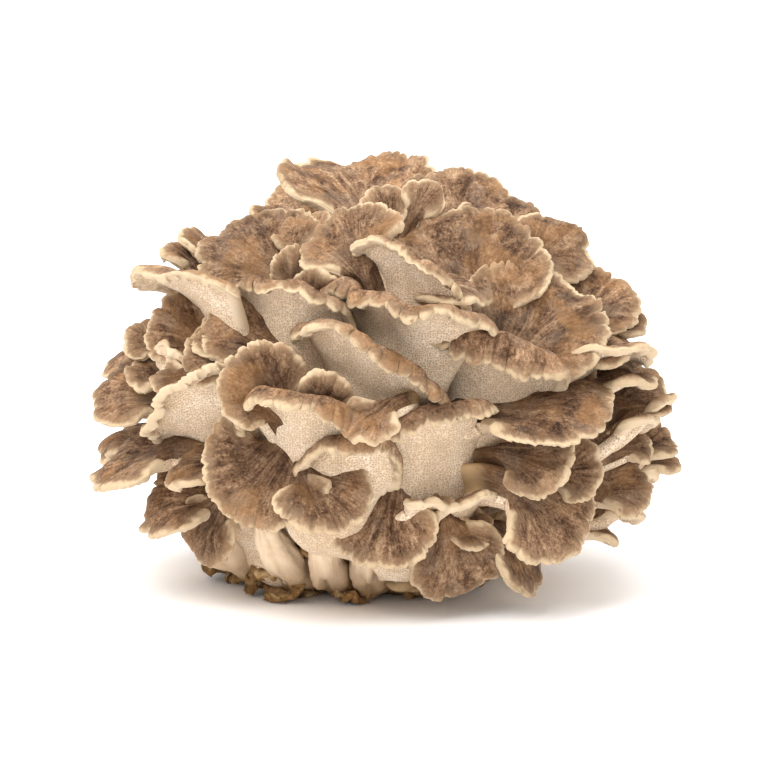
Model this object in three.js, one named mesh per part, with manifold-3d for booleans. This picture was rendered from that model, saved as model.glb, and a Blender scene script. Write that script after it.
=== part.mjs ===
// A picked maitake (hen of the woods) cluster: one branching base and the fan-shaped caps that grow on it.
// Millimetres, +Z up. The origin lies on the flat cut underside of the foot; the cluster faces -Y.
import * as THREE from 'three';
import { mergeVertices } from 'three/addons/utils/BufferGeometryUtils.js';
import Module from 'manifold-3d';

const wasm = await Module();
wasm.setup();

// ---------------------------------------------------------------- driving dimensions
const GAP = 0.35;                          // air left between a piece and the neighbour that cuts it
const BRANCHING = new THREE.Vector3(-10, 0, 14);   // the point in the foot that every branch grows away from
const ROOT_SHARE = 0.42;                   // a stalk starts this far from the branching point to its throat
const RIM_THICKNESS = 2.8;                 // a cap at its rim
const TOP_SHARE = 0.35;                    // how much of the thickness lies above the middle sheet
const THINNING_POWER = 1.6;                // how fast a cap thins from throat to rim
const FLARE_POWER = 1.3;                   // how late on its way out a cap opens
const SIDE_POWER = 2.2;                    // how late across its width a cap gets shorter
const STALK_TAPER = 0.35;                  // how much narrower a stalk is at its root
const FAN_ANGLE = 74;                      // half the angle that a cap spreads over, in degrees
const FAN_GROWTH = 0.1;                    // a cap spreads over this share more at its rim
const EDGE_SHARE = 0.6;                    // an edge is this much as thick as the flesh inside it
const HANDLE_SHARE = 0.4;                  // how strongly a stalk's two ends steer its curve
const FREE_SIDE_SHARE = 0.85;              // a cap with no width of its own reaches this far at its sides
const SIDE_SHARES = { least: 0.3, most: 1.15 };                // limits of a cap's reach at its sides
const CORNER_CUT = 0.12;                   // how much the two corners of a rim are rounded off
const CORNER_POWER = 6;                    // how close to the corner that rounding starts
const RIM_WAVE = { size: 0.05, slow: 1.7, fast: 3.9 };         // the uneven outline of a rim
const SECOND_RUFFLE = { size: 0.55, rate: 1.3 };               // the finer ruffle on top of the first
const LIP_WAVE = { size: 0.35, rate: 5 };  // how unevenly a lip rolls over along a rim
const FUNNEL_STEPS = 200;                  // steps in adding up a funnel's wall
const FINE_ROWS = 12;                      // steps in adding up one row of a cap's grid
const MERGE_DISTANCE = 1e-4;               // points closer than this are one point

// The base is a stack of rings, each [height, radius]. The first one lies flat on the ground.
const BASE_CENTRE_X = -10;
const BASE_RINGS = [[0, 38], [7, 42], [20, 45], [38, 51], [56, 56], [74, 55], [90, 46], [104, 31]];
const BASE_TOP = 112;
const BASE_SIDES = 28;
const BASE_DEPTH_SHARE = 0.9;              // the base is a little flatter front to back than it is wide
const RIDGES = 7;                          // low ridges round the base, where the branches leave it
const RIDGE_SHARE = 0.05;                  // their height as a share of the radius
const RIDGE_TWIST_HEIGHT = 30;             // the ridges turn by one radian over this height

// How a cap is built up, unless its own row says otherwise. Angles are in degrees, lengths in millimetres.
// open is the angle between the funnel's axis and its wall, and flare is how much that angle grows outwards.
// lip is how far the rim rolls over, between the shares lipFrom and lipTo of the way out. face is where the
// skin looks, and slant makes one side longer than the other.
// neck is the radius of the throat, thick the thickness there. ruffle and waves lift and drop the rim.
const USUAL_CAP = {
  open: 64, flare: 36, lip: 15, lipFrom: 0.6, lipTo: 1, face: [0, 0, 1], slant: 0,
  neck: 6, thick: 8, ruffle: 8, waves: 3,
};

// The caps that face forward and sideways. rim is the middle of the rim, throat is where the stalk opens into
// the cap, and wide is half the cap's width. A row with joins is a lobe of the cap that it names.
const FRONT_CAPS = [
  { name: 'crown_cap', rim: [-16, 28, 174], throat: [-9, -12, 151], wide: 29, open: 62, flare: 30, lip: 8,
    neck: 8, ruffle: 9, waves: 4, seed: 0 },
  { name: 'crown_right_rear', rim: [34, 8, 169], throat: [26, -20, 142], wide: 19, flare: 40,
    face: [0, -1, 0.6], ruffle: 10, seed: 21 },
  { name: 'crown_right_outer', rim: [56, -4, 157], throat: [42, -30, 134], wide: 16, flare: 40,
    face: [0, -1, 0.6], seed: 28 },
  { name: 'upper_right_cap', rim: [79, -18, 147], throat: [59, -34, 136], wide: 14, open: 66, flare: 40,
    face: [0, -1, 0.8], ruffle: 10, seed: 35 },
  { name: 'great_right_cap', rim: [30, -26, 155], throat: [35, -56, 117], wide: 29, open: 66, lip: 8,
    face: [0, -1, 0.5], neck: 8, ruffle: 7, waves: 4, seed: 49 },
  { name: 'right_fan_cap', rim: [74, -50, 134], throat: [52, -66, 105], wide: 27, open: 68, flare: 26,
    face: [0, -1, 0.7], neck: 8, ruffle: 9, waves: 4, seed: 56 },
  { name: 'right_lip_cap', rim: [42, -98, 126], throat: [38, -72, 80], wide: 25, open: 48, flare: 58,
    lip: 95, lipFrom: 0.66, lipTo: 0.86, face: [0.15, 0, 1], neck: 12, thick: 11, ruffle: 9, seed: 63 },
  { name: 'shoulder_right_cap', rim: [97, -30, 129], throat: [79, -42, 115], wide: 14, open: 62, flare: 40,
    face: [0, -1, 0.8], seed: 70 },
  { name: 'shoulder_right_leaflet', rim: [95, -53, 109], throat: [78, -61, 103], wide: 10, open: 60,
    flare: 40, lip: 20, face: [0, -1, 1], neck: 4, thick: 5, seed: 91 },
  { name: 'right_ledge_cap', rim: [106, -42, 103], throat: [70, -60, 92], wide: 12, open: 60, flare: 40,
    lip: 30, face: [0, 0.35, 1], neck: 8, seed: 98 },
  { name: 'right_outer_cap', rim: [111, -28, 90], throat: [95, -42, 80], wide: 14, open: 62, flare: 40,
    face: [0, -1, 0.8], seed: 112 },
  { name: 'right_tongue_cap', rim: [92, -64, 92], throat: [40, -74, 82], wide: 19, open: 68, flare: 26,
    lip: 26, face: [0.1, -0.35, 1], neck: 9, ruffle: 9, seed: 126 },
  { name: 'right_lower_cap', rim: [105, -42, 54], throat: [84, -53, 48], wide: 19, flare: 40,
    face: [0, -1, 0.6], seed: 161 },
  { name: 'front_great_cap', rim: [7, -116, 97], throat: [14, -80, 34], wide: 38, open: 46, flare: 50,
    lip: 100, lipFrom: 0.82, lipTo: 0.96, face: [-0.22, 0, 1], neck: 17, thick: 13, seed: 175 },
  { name: 'front_great_lobe', rim: [-12, -119, 80], throat: [2, -109, 90], wide: 12, fan: 52, open: 60,
    flare: 40, lip: 30, face: [-0.5, -1, 1.2], neck: 5, thick: 5, ruffle: 14, seed: 182,
    joins: 'front_great_cap' },
  { name: 'front_great_wing', rim: [74, -94, 66], throat: [53, -83, 66], wide: 13, open: 62, flare: 40,
    face: [0, -1, 0.5], seed: 189, joins: 'front_great_cap' },
  { name: 'front_right_leaflet', rim: [86, -72, 64], throat: [68, -72, 58], wide: 14, open: 62, flare: 40,
    face: [0, -1, 0.5], neck: 5, seed: 196 },
  { name: 'front_right_skirt', rim: [82, -76, 38], throat: [55, -80, 52], fan: 84, open: 68, flare: 30,
    face: [0, -1, 0.7], neck: 7, ruffle: 7, seed: 203 },
  { name: 'front_right_arch', rim: [43, -90, 55], throat: [28, -76, 36], wide: 15, open: 50, flare: 60,
    lip: 10, face: [-0.3, 0, 1], neck: 9, thick: 9, seed: 210, joins: 'front_right_skirt' },
  { name: 'lower_right_cream_a', rim: [102, -32, 32], throat: [86, -46, 34], wide: 9, fan: 55, open: 60,
    flare: 40, face: [0, 0.15, 1], neck: 5, seed: 217 },
  { name: 'lower_right_cap', rim: [64, -60, 14], throat: [43, -74, 32], wide: 11, flare: 40,
    face: [0, -0.9, 1], neck: 5, seed: 231 },
  { name: 'front_hanging_cap', rim: [33, -80, 9], throat: [25, -84, 37], wide: 14, flare: 40,
    face: [0, -1, 0.6], seed: 245 },
  { name: 'front_low_cap', rim: [-9, -98, 25], throat: [2, -86, 51], wide: 22, flare: 30,
    face: [0, -1, 0.8], seed: 252 },
  { name: 'upper_left_cap', rim: [-64, -28, 153], throat: [-40, -48, 131], wide: 21, flare: 34, lip: 22,
    face: [0, -1, 0.8], seed: 266 },
  { name: 'upper_middle_cap', rim: [-17, -50, 158], throat: [-8, -66, 138], wide: 22, open: 54,
    face: [-0.2, -1, 0.5], seed: 287 },
  { name: 'middle_high_cap', rim: [3, -88, 155], throat: [9, -73, 112], wide: 19, open: 44, flare: 60,
    lip: 80, lipFrom: 0.82, lipTo: 0.97, face: [0.14, 0, 1], neck: 11, thick: 10, ruffle: 9, seed: 294 },
  { name: 'middle_tongue', rim: [40, -84, 130], throat: [14, -70, 129], wide: 7, fan: 50, open: 66,
    flare: 40, lip: 24, face: [0, -0.15, 1], neck: 5, seed: 301 },
  { name: 'middle_wide_cap', rim: [-12, -96, 139], throat: [6, -74, 95], wide: 43, open: 50, flare: 54,
    lip: 80, lipFrom: 0.8, lipTo: 0.95, neck: 15, thick: 11, ruffle: 15, waves: 4, seed: 308 },
  { name: 'middle_cap', rim: [-16, -110, 122], throat: [-7, -80, 74], wide: 32, open: 46, flare: 54,
    lip: 90, lipFrom: 0.83, lipTo: 0.97, face: [0.2, 0, 1], slant: -0.06, neck: 14, thick: 11, seed: 315 },
  { name: 'left_high_cap', rim: [-44, -86, 143], throat: [-37, -68, 97], wide: 21, open: 46, flare: 58,
    lip: 90, lipFrom: 0.81, lipTo: 0.96, face: [0.05, 0, 1], neck: 11, thick: 10, ruffle: 10, seed: 322 },
  { name: 'left_shoulder_cap', rim: [-97, -44, 134], throat: [-58, -58, 104], wide: 29, open: 46, flare: 50,
    lip: 40, lipFrom: 0.75, face: [-0.1, 0.35, 1], neck: 10, seed: 343 },
  { name: 'left_inner_cap', rim: [-68, -62, 122], throat: [-47, -66, 108], wide: 17, open: 60, flare: 40,
    face: [0, -1, 0.7], seed: 357 },
  { name: 'left_shell_cap', rim: [-94, -46, 115], throat: [-75, -50, 106], wide: 15, open: 60, flare: 40,
    face: [0, -1, 0.8], seed: 364 },
  { name: 'left_ruffle', rim: [-80, -72, 103], throat: [-62, -74, 102], wide: 11, open: 60, flare: 40,
    face: [0, -1, 1], neck: 5, ruffle: 16, seed: 385 },
  { name: 'left_outer_cap', rim: [-112, -28, 88], throat: [-88, -46, 82], wide: 18, open: 66, flare: 40,
    face: [0, -1, 0.9], seed: 399 },
  { name: 'left_pale_cap', rim: [-87, -82, 98], throat: [-46, -66, 58], wide: 32, open: 50, flare: 48,
    lip: 40, lipFrom: 0.78, face: [-0.1, 0.8, 1], neck: 15, thick: 11, seed: 413 },
  { name: 'left_bowl_cap', rim: [-58, -90, 110], throat: [-44, -84, 89], wide: 15, open: 58, lip: 14,
    face: [0.1, -1, 0.45], neck: 7, seed: 427 },
  { name: 'left_bowl_lip', rim: [-34, -118, 102], throat: [-24, -89, 47], wide: 26, open: 46, flare: 56,
    lip: 105, lipFrom: 0.78, lipTo: 0.93, face: [0.05, 0, 1], neck: 14, thick: 12, seed: 434,
    joins: 'left_bowl_cap' },
  { name: 'left_low_cap', rim: [-112, -24, 55], throat: [-84, -50, 62], wide: 19, open: 66, flare: 26,
    face: [0, -0.9, 1], seed: 448 },
  { name: 'left_low_leaflet', rim: [-89, -68, 58], throat: [-68, -70, 59], wide: 12, open: 60, flare: 40,
    lip: 34, face: [0, -0.5, 1], seed: 455 },
  { name: 'front_left_skirt', rim: [-61, -100, 46], throat: [-45, -86, 60], fan: 88, open: 66, flare: 32,
    lip: 18, face: [0, -1, 1], neck: 9, seed: 462 },
  { name: 'front_left_wing', rim: [-16, -113, 44], throat: [-28, -96, 57], wide: 18, flare: 40, lip: 26,
    face: [0, -0.8, 1], seed: 469, joins: 'front_left_skirt' },
  { name: 'lower_left_cap', rim: [-98, -42, 41], throat: [-68, -58, 43], wide: 11, open: 66, flare: 40,
    face: [0, -0.9, 1], seed: 476 },
  { name: 'left_hanging_cap', rim: [-76, -60, 22], throat: [-64, -64, 40], wide: 11, open: 60, flare: 40,
    face: [0, -1, 1], neck: 5, seed: 490 },
  { name: 'lower_left_stalk', rim: [-70, -60, 38], throat: [-46, -44, 16], wide: 10, open: 40, flare: 30,
    lip: 20, face: [0, 0.2, 1], neck: 9, thick: 12, seed: 497 },
];

// The caps that face backward stand in rings, one above the other.
// height, radius: where the rims are.  from, to: degrees round from +X.  pitch: how steeply they rise.
const BACK_RINGS = [
  { height: 30, radius: 92, count: 4, from: 20, to: 160, pitch: -18, length: 36, wide: 26 },
  { height: 58, radius: 114, count: 5, from: 4, to: 176, pitch: 4, length: 42, wide: 31 },
  { height: 90, radius: 117, count: 5, from: 18, to: 162, pitch: 26, length: 46, wide: 32 },
  { height: 130, radius: 94, count: 3, from: 24, to: 152, pitch: 44, length: 46, wide: 33 },
  { height: 160, radius: 56, count: 2, from: 48, to: 116, pitch: 54, length: 44, wide: 30 },
];
const BACK_CENTRE_X = -4;
const BACK_DEPTH_SHARE = 0.92;
const FIRST_BACK_SEED = 100;
const SEEDS_PER_RING = 10;

// How much the caps of a ring differ from each other: bearing, pitch and heading in degrees, height in
// millimetres, size as a share. The other rows give the least value of a measure and what may be added to it.
const BACK_SPREAD = { bearing: 10, height: 8, size: 0.3, pitch: 24, heading: 36 };
const BACK_OPEN = { least: 52, more: 16 };
const BACK_FLARE = { least: 34, more: 20 };
const BACK_LIP = { least: 14, more: 26 };
const BACK_NECK = { least: 7, more: 4 };
const BACK_RUFFLE = 10;
const BACK_WAVES = 4;
const BACK_THICK = 9;
const BACK_FACE_SHARE = 0.5;               // how far the skin of a steep cap turns outwards
const BACK_FACE_FROM = 0.3;                // caps less steep than this turn inwards instead

// How many columns across and rows out a cap's grid has, and how many rows its stalk has.
const GRID = { columns: 6, rows: 3, stalkRows: 1 };

// ---------------------------------------------------------------- small helpers
const radians = THREE.MathUtils.degToRad;
const vector = (point) => new THREE.Vector3(...point);

/** Adds up vectors, each given as [vector, how much of it]. */
function blend(...terms) {
  const sum = new THREE.Vector3();
  for (const [part, amount] of terms) {
    sum.addScaledVector(part, amount);
  }
  return sum;
}

// The factors of a common way to scatter numbers with a sine; any large uneven values would do.
const SCATTER = { seed: 12.9898, channel: 78.233, stretch: 43758.5453 };

/** A repeatable number from 0 to 1 for a cap's seed and a channel. */
function dice(seed, channel) {
  const wave = Math.sin(seed * SCATTER.seed + channel * SCATTER.channel) * SCATTER.stretch;
  return wave - Math.floor(wave);
}

/** A closed geometry from points and triangles, turned so that its faces point out. */
function closedGeometry(points, triangles) {
  const geometry = new THREE.BufferGeometry();
  geometry.setAttribute('position', new THREE.Float32BufferAttribute(points.flatMap((p) => p.toArray()), 3));
  let volume = 0;
  for (const [a, b, c] of triangles) {
    volume += points[a].dot(points[b].clone().cross(points[c]));
  }
  const outward = volume > 0 ? triangles : triangles.map(([a, b, c]) => [a, c, b]);
  geometry.setIndex(outward.flat());
  return geometry;
}

/** Two triangles for each cell of a grid of point numbers. */
function gridTriangles(grid) {
  const triangles = [];
  for (let i = 0; i + 1 < grid.length; i += 1) {
    for (let j = 0; j + 1 < grid[i].length; j += 1) {
      triangles.push([grid[i][j], grid[i + 1][j], grid[i + 1][j + 1]]);
      triangles.push([grid[i][j], grid[i + 1][j + 1], grid[i][j + 1]]);
    }
  }
  return triangles;
}

/** A manifold solid from a closed geometry. */
function solid(geometry) {
  const merged = mergeVertices(geometry, MERGE_DISTANCE);
  return new wasm.Manifold(new wasm.Mesh({
    numProp: 3,
    vertProperties: new Float32Array(merged.attributes.position.array),
    triVerts: new Uint32Array(merged.index.array),
  }));
}

/** The largest of the separate pieces of a solid. */
function largestPiece(whole) {
  const pieces = whole.decompose();
  return pieces.reduce((best, piece) => (piece.volume() > best.volume() ? piece : best));
}

/** A named mesh from a solid. */
function meshFrom(name, body, material) {
  const source = body.getMesh();
  const geometry = new THREE.BufferGeometry();
  geometry.setAttribute('position', new THREE.Float32BufferAttribute(source.vertProperties, 3));
  geometry.setIndex(Array.from(source.triVerts));
  geometry.computeVertexNormals();
  const mesh = new THREE.Mesh(geometry, material);
  mesh.name = name;
  return mesh;
}

// ---------------------------------------------------------------- the base
/** The base, with its flat foot. grow makes it that much larger all round. */
function baseSolid(grow) {
  const points = [];
  const rings = [];
  for (const [height, radius] of BASE_RINGS) {
    const ring = [];
    for (let side = 0; side <= BASE_SIDES; side += 1) {
      const angle = (side % BASE_SIDES) / BASE_SIDES * 2 * Math.PI;
      const twist = height / RIDGE_TWIST_HEIGHT;
      const ridged = radius * (1 + RIDGE_SHARE * Math.sin(RIDGES * angle + twist)) + grow;
      ring.push(points.length);
      points.push(new THREE.Vector3(
        BASE_CENTRE_X + ridged * Math.cos(angle),
        ridged * BASE_DEPTH_SHARE * Math.sin(angle),
        height,
      ));
    }
    rings.push(ring);
  }
  const triangles = gridTriangles(rings);
  const bottom = points.length;
  points.push(new THREE.Vector3(BASE_CENTRE_X, 0, BASE_RINGS[0][0]));
  const top = points.length;
  points.push(new THREE.Vector3(BASE_CENTRE_X, 0, BASE_TOP + grow));
  const last = rings.length - 1;
  for (let side = 0; side < BASE_SIDES; side += 1) {
    triangles.push([bottom, rings[0][side], rings[0][side + 1]]);
    triangles.push([top, rings[last][side + 1], rings[last][side]]);
  }
  return solid(closedGeometry(points, triangles));
}

// ---------------------------------------------------------------- one cap
/** The funnel that a cap is cut from: its axes, its length and the angles of its wall. */
function funnel(cap) {
  const rim = vector(cap.rim);
  const throat = vector(cap.throat);
  const outward = rim.clone().sub(throat).normalize();
  const face = vector(cap.face);
  const up = face.addScaledVector(outward, -face.dot(outward)).normalize();
  const wallStart = radians(cap.open - cap.flare / 2);
  const wallEnd = radians(cap.open + cap.flare / 2);
  let rise = 0;
  let reach = 0;
  for (let step = 0; step < FUNNEL_STEPS; step += 1) {
    const wall = wallStart + (wallEnd - wallStart) * ((step + 0.5) / FUNNEL_STEPS) ** FLARE_POWER;
    rise += Math.cos(wall) / FUNNEL_STEPS;
    reach += Math.sin(wall) / FUNNEL_STEPS;
  }
  const length = rim.distanceTo(throat) / Math.hypot(rise, reach);
  const lean = Math.atan2(reach, rise);
  const axis = blend([outward, Math.cos(lean)], [up, Math.sin(lean)]);
  const away = blend([outward, Math.sin(lean)], [up, -Math.cos(lean)]);
  const across = axis.clone().cross(away);
  if (across.x < 0) {
    across.negate();
  }
  const spread = radians(cap.fan ?? FAN_ANGLE);
  const wanted = cap.wide ? (cap.wide / Math.sin(spread) - cap.neck) / (length * reach) : FREE_SIDE_SHARE;
  const sideShare = THREE.MathUtils.clamp(wanted, SIDE_SHARES.least, SIDE_SHARES.most);
  return { throat, axis, away, across, length, wallStart, wallEnd, spread, sideShare };
}

/** The middle sheet of a cap and its stalk, as columns of points from root to rim. */
function middleSheet(cap, shape) {
  const { throat, axis, away, across, length, wallStart, wallEnd, spread, sideShare } = shape;
  const phase = (channel) => 2 * Math.PI * dice(cap.seed, channel);
  const root = BRANCHING.clone().lerp(throat, ROOT_SHARE);
  const stalk = throat.distanceTo(root);
  const leave = throat.clone().sub(BRANCHING).normalize();
  const arrive = blend([axis, Math.cos(wallStart)], [away, Math.sin(wallStart)]);
  const curve = new THREE.CubicBezierCurve3(
    root,
    blend([root, 1], [leave, stalk * HANDLE_SHARE]),
    blend([throat, 1], [arrive, -stalk * HANDLE_SHARE]),
    throat,
  );
  const columns = [];
  for (let column = 0; column <= GRID.columns; column += 1) {
    const side = -1 + 2 * column / GRID.columns;
    const points = [];
    for (let row = 0; row < GRID.stalkRows; row += 1) {
      const along = row / GRID.stalkRows;
      const tangent = curve.getTangent(along);
      const straight = 1 - THREE.MathUtils.smoothstep(along, 0.5, 1);
      const normal = blend([away, 1], [tangent, -straight * tangent.dot(away)]).normalize();
      const sideways = blend([across, 1], [tangent, -straight * tangent.dot(across)]).normalize();
      const radius = cap.neck * (1 - STALK_TAPER * (1 - along));
      const angle = side * spread;
      points.push(blend(
        [curve.getPoint(along), 1],
        [normal, radius * (Math.cos(angle) - 1)],
        [sideways, radius * Math.sin(angle)],
      ));
    }
    const wave = (Math.sin(RIM_WAVE.slow * side + phase(6)) + Math.sin(RIM_WAVE.fast * side + phase(7))) / 2;
    const reach = length * (1 + cap.slant * side + RIM_WAVE.size * wave)
      * (1 - (1 - sideShare) * Math.abs(side) ** SIDE_POWER)
      * (1 - CORNER_CUT * Math.abs(side) ** CORNER_POWER);
    const turns = Math.PI * cap.waves * side;
    const ruffle = radians(cap.ruffle) * (Math.sin(turns / 2 + phase(3))
      + SECOND_RUFFLE.size * Math.sin(SECOND_RUFFLE.rate * turns + phase(4)));
    const lip = radians(cap.lip) * (1 + LIP_WAVE.size * Math.sin(LIP_WAVE.rate * side + phase(5)));
    const wallAt = (share) => wallStart + (wallEnd - wallStart) * share ** FLARE_POWER
      + lip * THREE.MathUtils.smoothstep(share, cap.lipFrom, cap.lipTo) + ruffle * share ** 2;
    let rise = 0;
    let radius = cap.neck;
    const fineSteps = GRID.rows * FINE_ROWS;
    for (let fine = 0; fine <= fineSteps; fine += 1) {
      const share = fine / fineSteps;
      if (fine > 0) {
        const wall = wallAt(share - 0.5 / fineSteps);
        rise += Math.cos(wall) * reach / fineSteps;
        radius += Math.sin(wall) * reach / fineSteps;
      }
      if (fine % FINE_ROWS === 0) {
        const angle = side * spread * (1 + FAN_GROWTH * share);
        points.push(blend(
          [throat, 1],
          [axis, rise],
          [away, radius * Math.cos(angle) - cap.neck],
          [across, radius * Math.sin(angle)],
        ));
      }
    }
    columns.push(points);
  }
  return columns;
}

/** The direction square to a sheet at one of its points. */
function sheetNormal(sheet, column, row) {
  const left = sheet[Math.max(column - 1, 0)][row];
  const right = sheet[Math.min(column + 1, sheet.length - 1)][row];
  const inner = sheet[column][Math.max(row - 1, 0)];
  const outer = sheet[column][Math.min(row + 1, sheet[column].length - 1)];
  return right.clone().sub(left).cross(outer.clone().sub(inner)).normalize();
}

/** A step of a given length from one of a sheet's points to outside the sheet's own edge, if it is on one. */
function outwardStep(sheet, column, row, length) {
  const point = sheet[column][row];
  const step = new THREE.Vector3();
  const last = sheet.length - 1;
  if (column === 0 || column === last) {
    const inner = sheet[column === 0 ? 1 : last - 1][row];
    step.add(point.clone().sub(inner).setLength(length));
  }
  if (row === sheet[column].length - 1) {
    step.add(point.clone().sub(sheet[column][row - 1]).setLength(length));
  }
  return step;
}

/** A cap with its stalk, as one solid. grow makes it that much larger all round. */
function capSolid(cap, grow = 0) {
  const shape = funnel(cap);
  const sheet = middleSheet(cap, shape);
  const middle = sheetNormal(sheet, GRID.columns / 2, GRID.stalkRows + 2);
  const lean = (shape.wallStart + shape.wallEnd) / 2;
  const skinSide = blend([shape.axis, Math.sin(lean)], [shape.away, -Math.cos(lean)]);
  const turn = middle.dot(skinSide) < 0 ? -1 : 1;
  const points = [];
  const skin = [];
  const underside = [];
  sheet.forEach((column, columnNumber) => {
    skin.push([]);
    underside.push([]);
    column.forEach((point, row) => {
      const share = Math.max(0, (row - GRID.stalkRows) / GRID.rows);
      const atEdge = columnNumber === 0 || columnNumber === GRID.columns || row === column.length - 1;
      const full = RIM_THICKNESS + (cap.thick - RIM_THICKNESS) * (1 - share) ** THINNING_POWER;
      const thickness = atEdge ? full * EDGE_SHARE : full;
      const normal = sheetNormal(sheet, columnNumber, row).multiplyScalar(turn);
      const middlePoint = point.clone().add(outwardStep(sheet, columnNumber, row, grow));
      skin[columnNumber].push(points.length);
      points.push(blend([middlePoint, 1], [normal, thickness * TOP_SHARE + grow]));
      underside[columnNumber].push(points.length);
      points.push(blend([middlePoint, 1], [normal, -thickness * (1 - TOP_SHARE) - grow]));
    });
  });
  const last = GRID.columns;
  const walls = [
    [underside[0], skin[0]],
    [skin[last], underside[last]],
    [skin.map((column) => column[0]), underside.map((column) => column[0])],
    [underside.map((column) => column.at(-1)), skin.map((column) => column.at(-1))],
  ];
  const triangles = [
    ...gridTriangles(skin),
    ...gridTriangles(underside).map(([a, b, c]) => [a, c, b]),
    ...walls.flatMap((pair) => gridTriangles(pair)),
  ];
  return solid(closedGeometry(points, triangles));
}

// ---------------------------------------------------------------- the rings of caps at the back
/** The caps of one ring, each a little different from the next. */
function backRing(ring, ringNumber) {
  const caps = [];
  for (let place = 0; place < ring.count; place += 1) {
    const seed = FIRST_BACK_SEED + ringNumber * SEEDS_PER_RING + place;
    const vary = (channel) => dice(seed, channel) - 0.5;
    const evenly = ring.from + (ring.to - ring.from) * place / (ring.count - 1);
    const bearing = radians(evenly + BACK_SPREAD.bearing * vary(1));
    const size = 1 + BACK_SPREAD.size * vary(3);
    const pitch = radians(ring.pitch + BACK_SPREAD.pitch * vary(4));
    const heading = bearing + radians(BACK_SPREAD.heading * vary(5));
    const length = ring.length * size;
    const rim = [
      BACK_CENTRE_X + ring.radius * Math.cos(bearing),
      ring.radius * BACK_DEPTH_SHARE * Math.sin(bearing),
      ring.height + BACK_SPREAD.height * vary(2),
    ];
    const steep = dice(seed, 6);
    const turned = BACK_FACE_SHARE * (steep - BACK_FACE_FROM);
    caps.push({
      name: `back_ring_${ringNumber + 1}_cap_${place + 1}`,
      rim,
      throat: [
        rim[0] - length * Math.cos(pitch) * Math.cos(heading),
        rim[1] - length * Math.cos(pitch) * Math.sin(heading),
        rim[2] - length * Math.sin(pitch),
      ],
      wide: ring.wide * size,
      open: BACK_OPEN.least + BACK_OPEN.more * steep,
      flare: BACK_FLARE.least + BACK_FLARE.more * (1 - steep),
      lip: BACK_LIP.least + BACK_LIP.more * dice(seed, 7),
      face: [turned * Math.cos(bearing), turned * Math.sin(bearing), 1],
      ruffle: BACK_RUFFLE,
      waves: BACK_WAVES,
      neck: BACK_NECK.least + BACK_NECK.more * dice(seed, 9),
      thick: BACK_THICK,
      seed,
    });
  }
  return caps;
}

// ---------------------------------------------------------------- the cluster
const cream = new THREE.Color('#cdb899');
const brown = new THREE.Color('#8f7256');
const umber = new THREE.Color('#6f5340');
const TONE_SHARE = 0.4;                    // how far the palest and darkest caps lie from plain brown
const FLESH = { roughness: 0.85, metalness: 0 };
const SKIN = { roughness: 0.8, metalness: 0 };

const caps = [
  ...FRONT_CAPS.map((row) => ({ ...USUAL_CAP, ...row })),
  ...BACK_RINGS.flatMap(backRing).map((row) => ({ ...USUAL_CAP, ...row })),
];

const cluster = new THREE.Group();
cluster.name = 'maitake_cluster';
const fleshMaterial = new THREE.MeshStandardMaterial({ color: cream, ...FLESH });
cluster.add(meshFrom('branching_base', baseSolid(0), fleshMaterial));

// What is already there and cuts the next piece: each earlier piece a gap larger than it is, and, because a
// folded lip does not grow evenly, the piece itself as well.
const standing = [baseSolid(GAP)];
for (const cap of caps.filter((row) => !row.joins)) {
  const lobes = caps.filter((row) => row.joins === cap.name);
  let body = capSolid(cap);
  for (const lobe of lobes) {
    body = body.add(capSolid(lobe));
  }
  const uncut = body;
  for (const neighbour of standing) {
    body = body.subtract(neighbour);
  }
  standing.push(uncut, ...[cap, ...lobes].map((row) => capSolid(row, GAP)));
  const tone = 2 * dice(cap.seed, 11) - 1;
  const color = brown.clone().lerp(tone < 0 ? cream : umber, TONE_SHARE * Math.abs(tone));
  cluster.add(meshFrom(cap.name, largestPiece(body), new THREE.MeshStandardMaterial({ color, ...SKIN })));
}

export default cluster;
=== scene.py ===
# %% [markdown]
# # A picked maitake cluster
# A maitake, or hen of the woods, is one fungus that branches again and again from a thick foot. Every branch
# ends in a fan-shaped cap: dry, streaky brown skin above and a cream layer of fine pores below. This lesson
# builds the caps one by one, because a cap is a thin sheet with a top, an underside and a rolled rim, and the
# cluster is nothing but such sheets crowded against each other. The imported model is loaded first. It holds
# the plain solid of each cap, and everything here is made in the same metres and the same frame.

# %% Load the frame
import math
from types import SimpleNamespace

import bpy
import numpy as np
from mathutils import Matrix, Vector


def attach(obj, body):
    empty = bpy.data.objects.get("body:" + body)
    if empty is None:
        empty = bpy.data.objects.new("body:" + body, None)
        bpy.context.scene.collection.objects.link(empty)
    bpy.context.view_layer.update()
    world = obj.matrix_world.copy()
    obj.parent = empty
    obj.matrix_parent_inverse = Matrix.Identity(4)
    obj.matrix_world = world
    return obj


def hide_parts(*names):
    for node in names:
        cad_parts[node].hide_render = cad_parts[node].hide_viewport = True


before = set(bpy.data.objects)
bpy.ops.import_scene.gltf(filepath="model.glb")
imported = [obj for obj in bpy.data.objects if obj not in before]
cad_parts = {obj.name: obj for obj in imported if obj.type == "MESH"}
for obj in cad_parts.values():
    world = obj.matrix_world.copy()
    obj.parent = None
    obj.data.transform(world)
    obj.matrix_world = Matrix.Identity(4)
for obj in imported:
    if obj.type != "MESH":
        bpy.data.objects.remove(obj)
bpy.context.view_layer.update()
MM = 0.001

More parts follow.
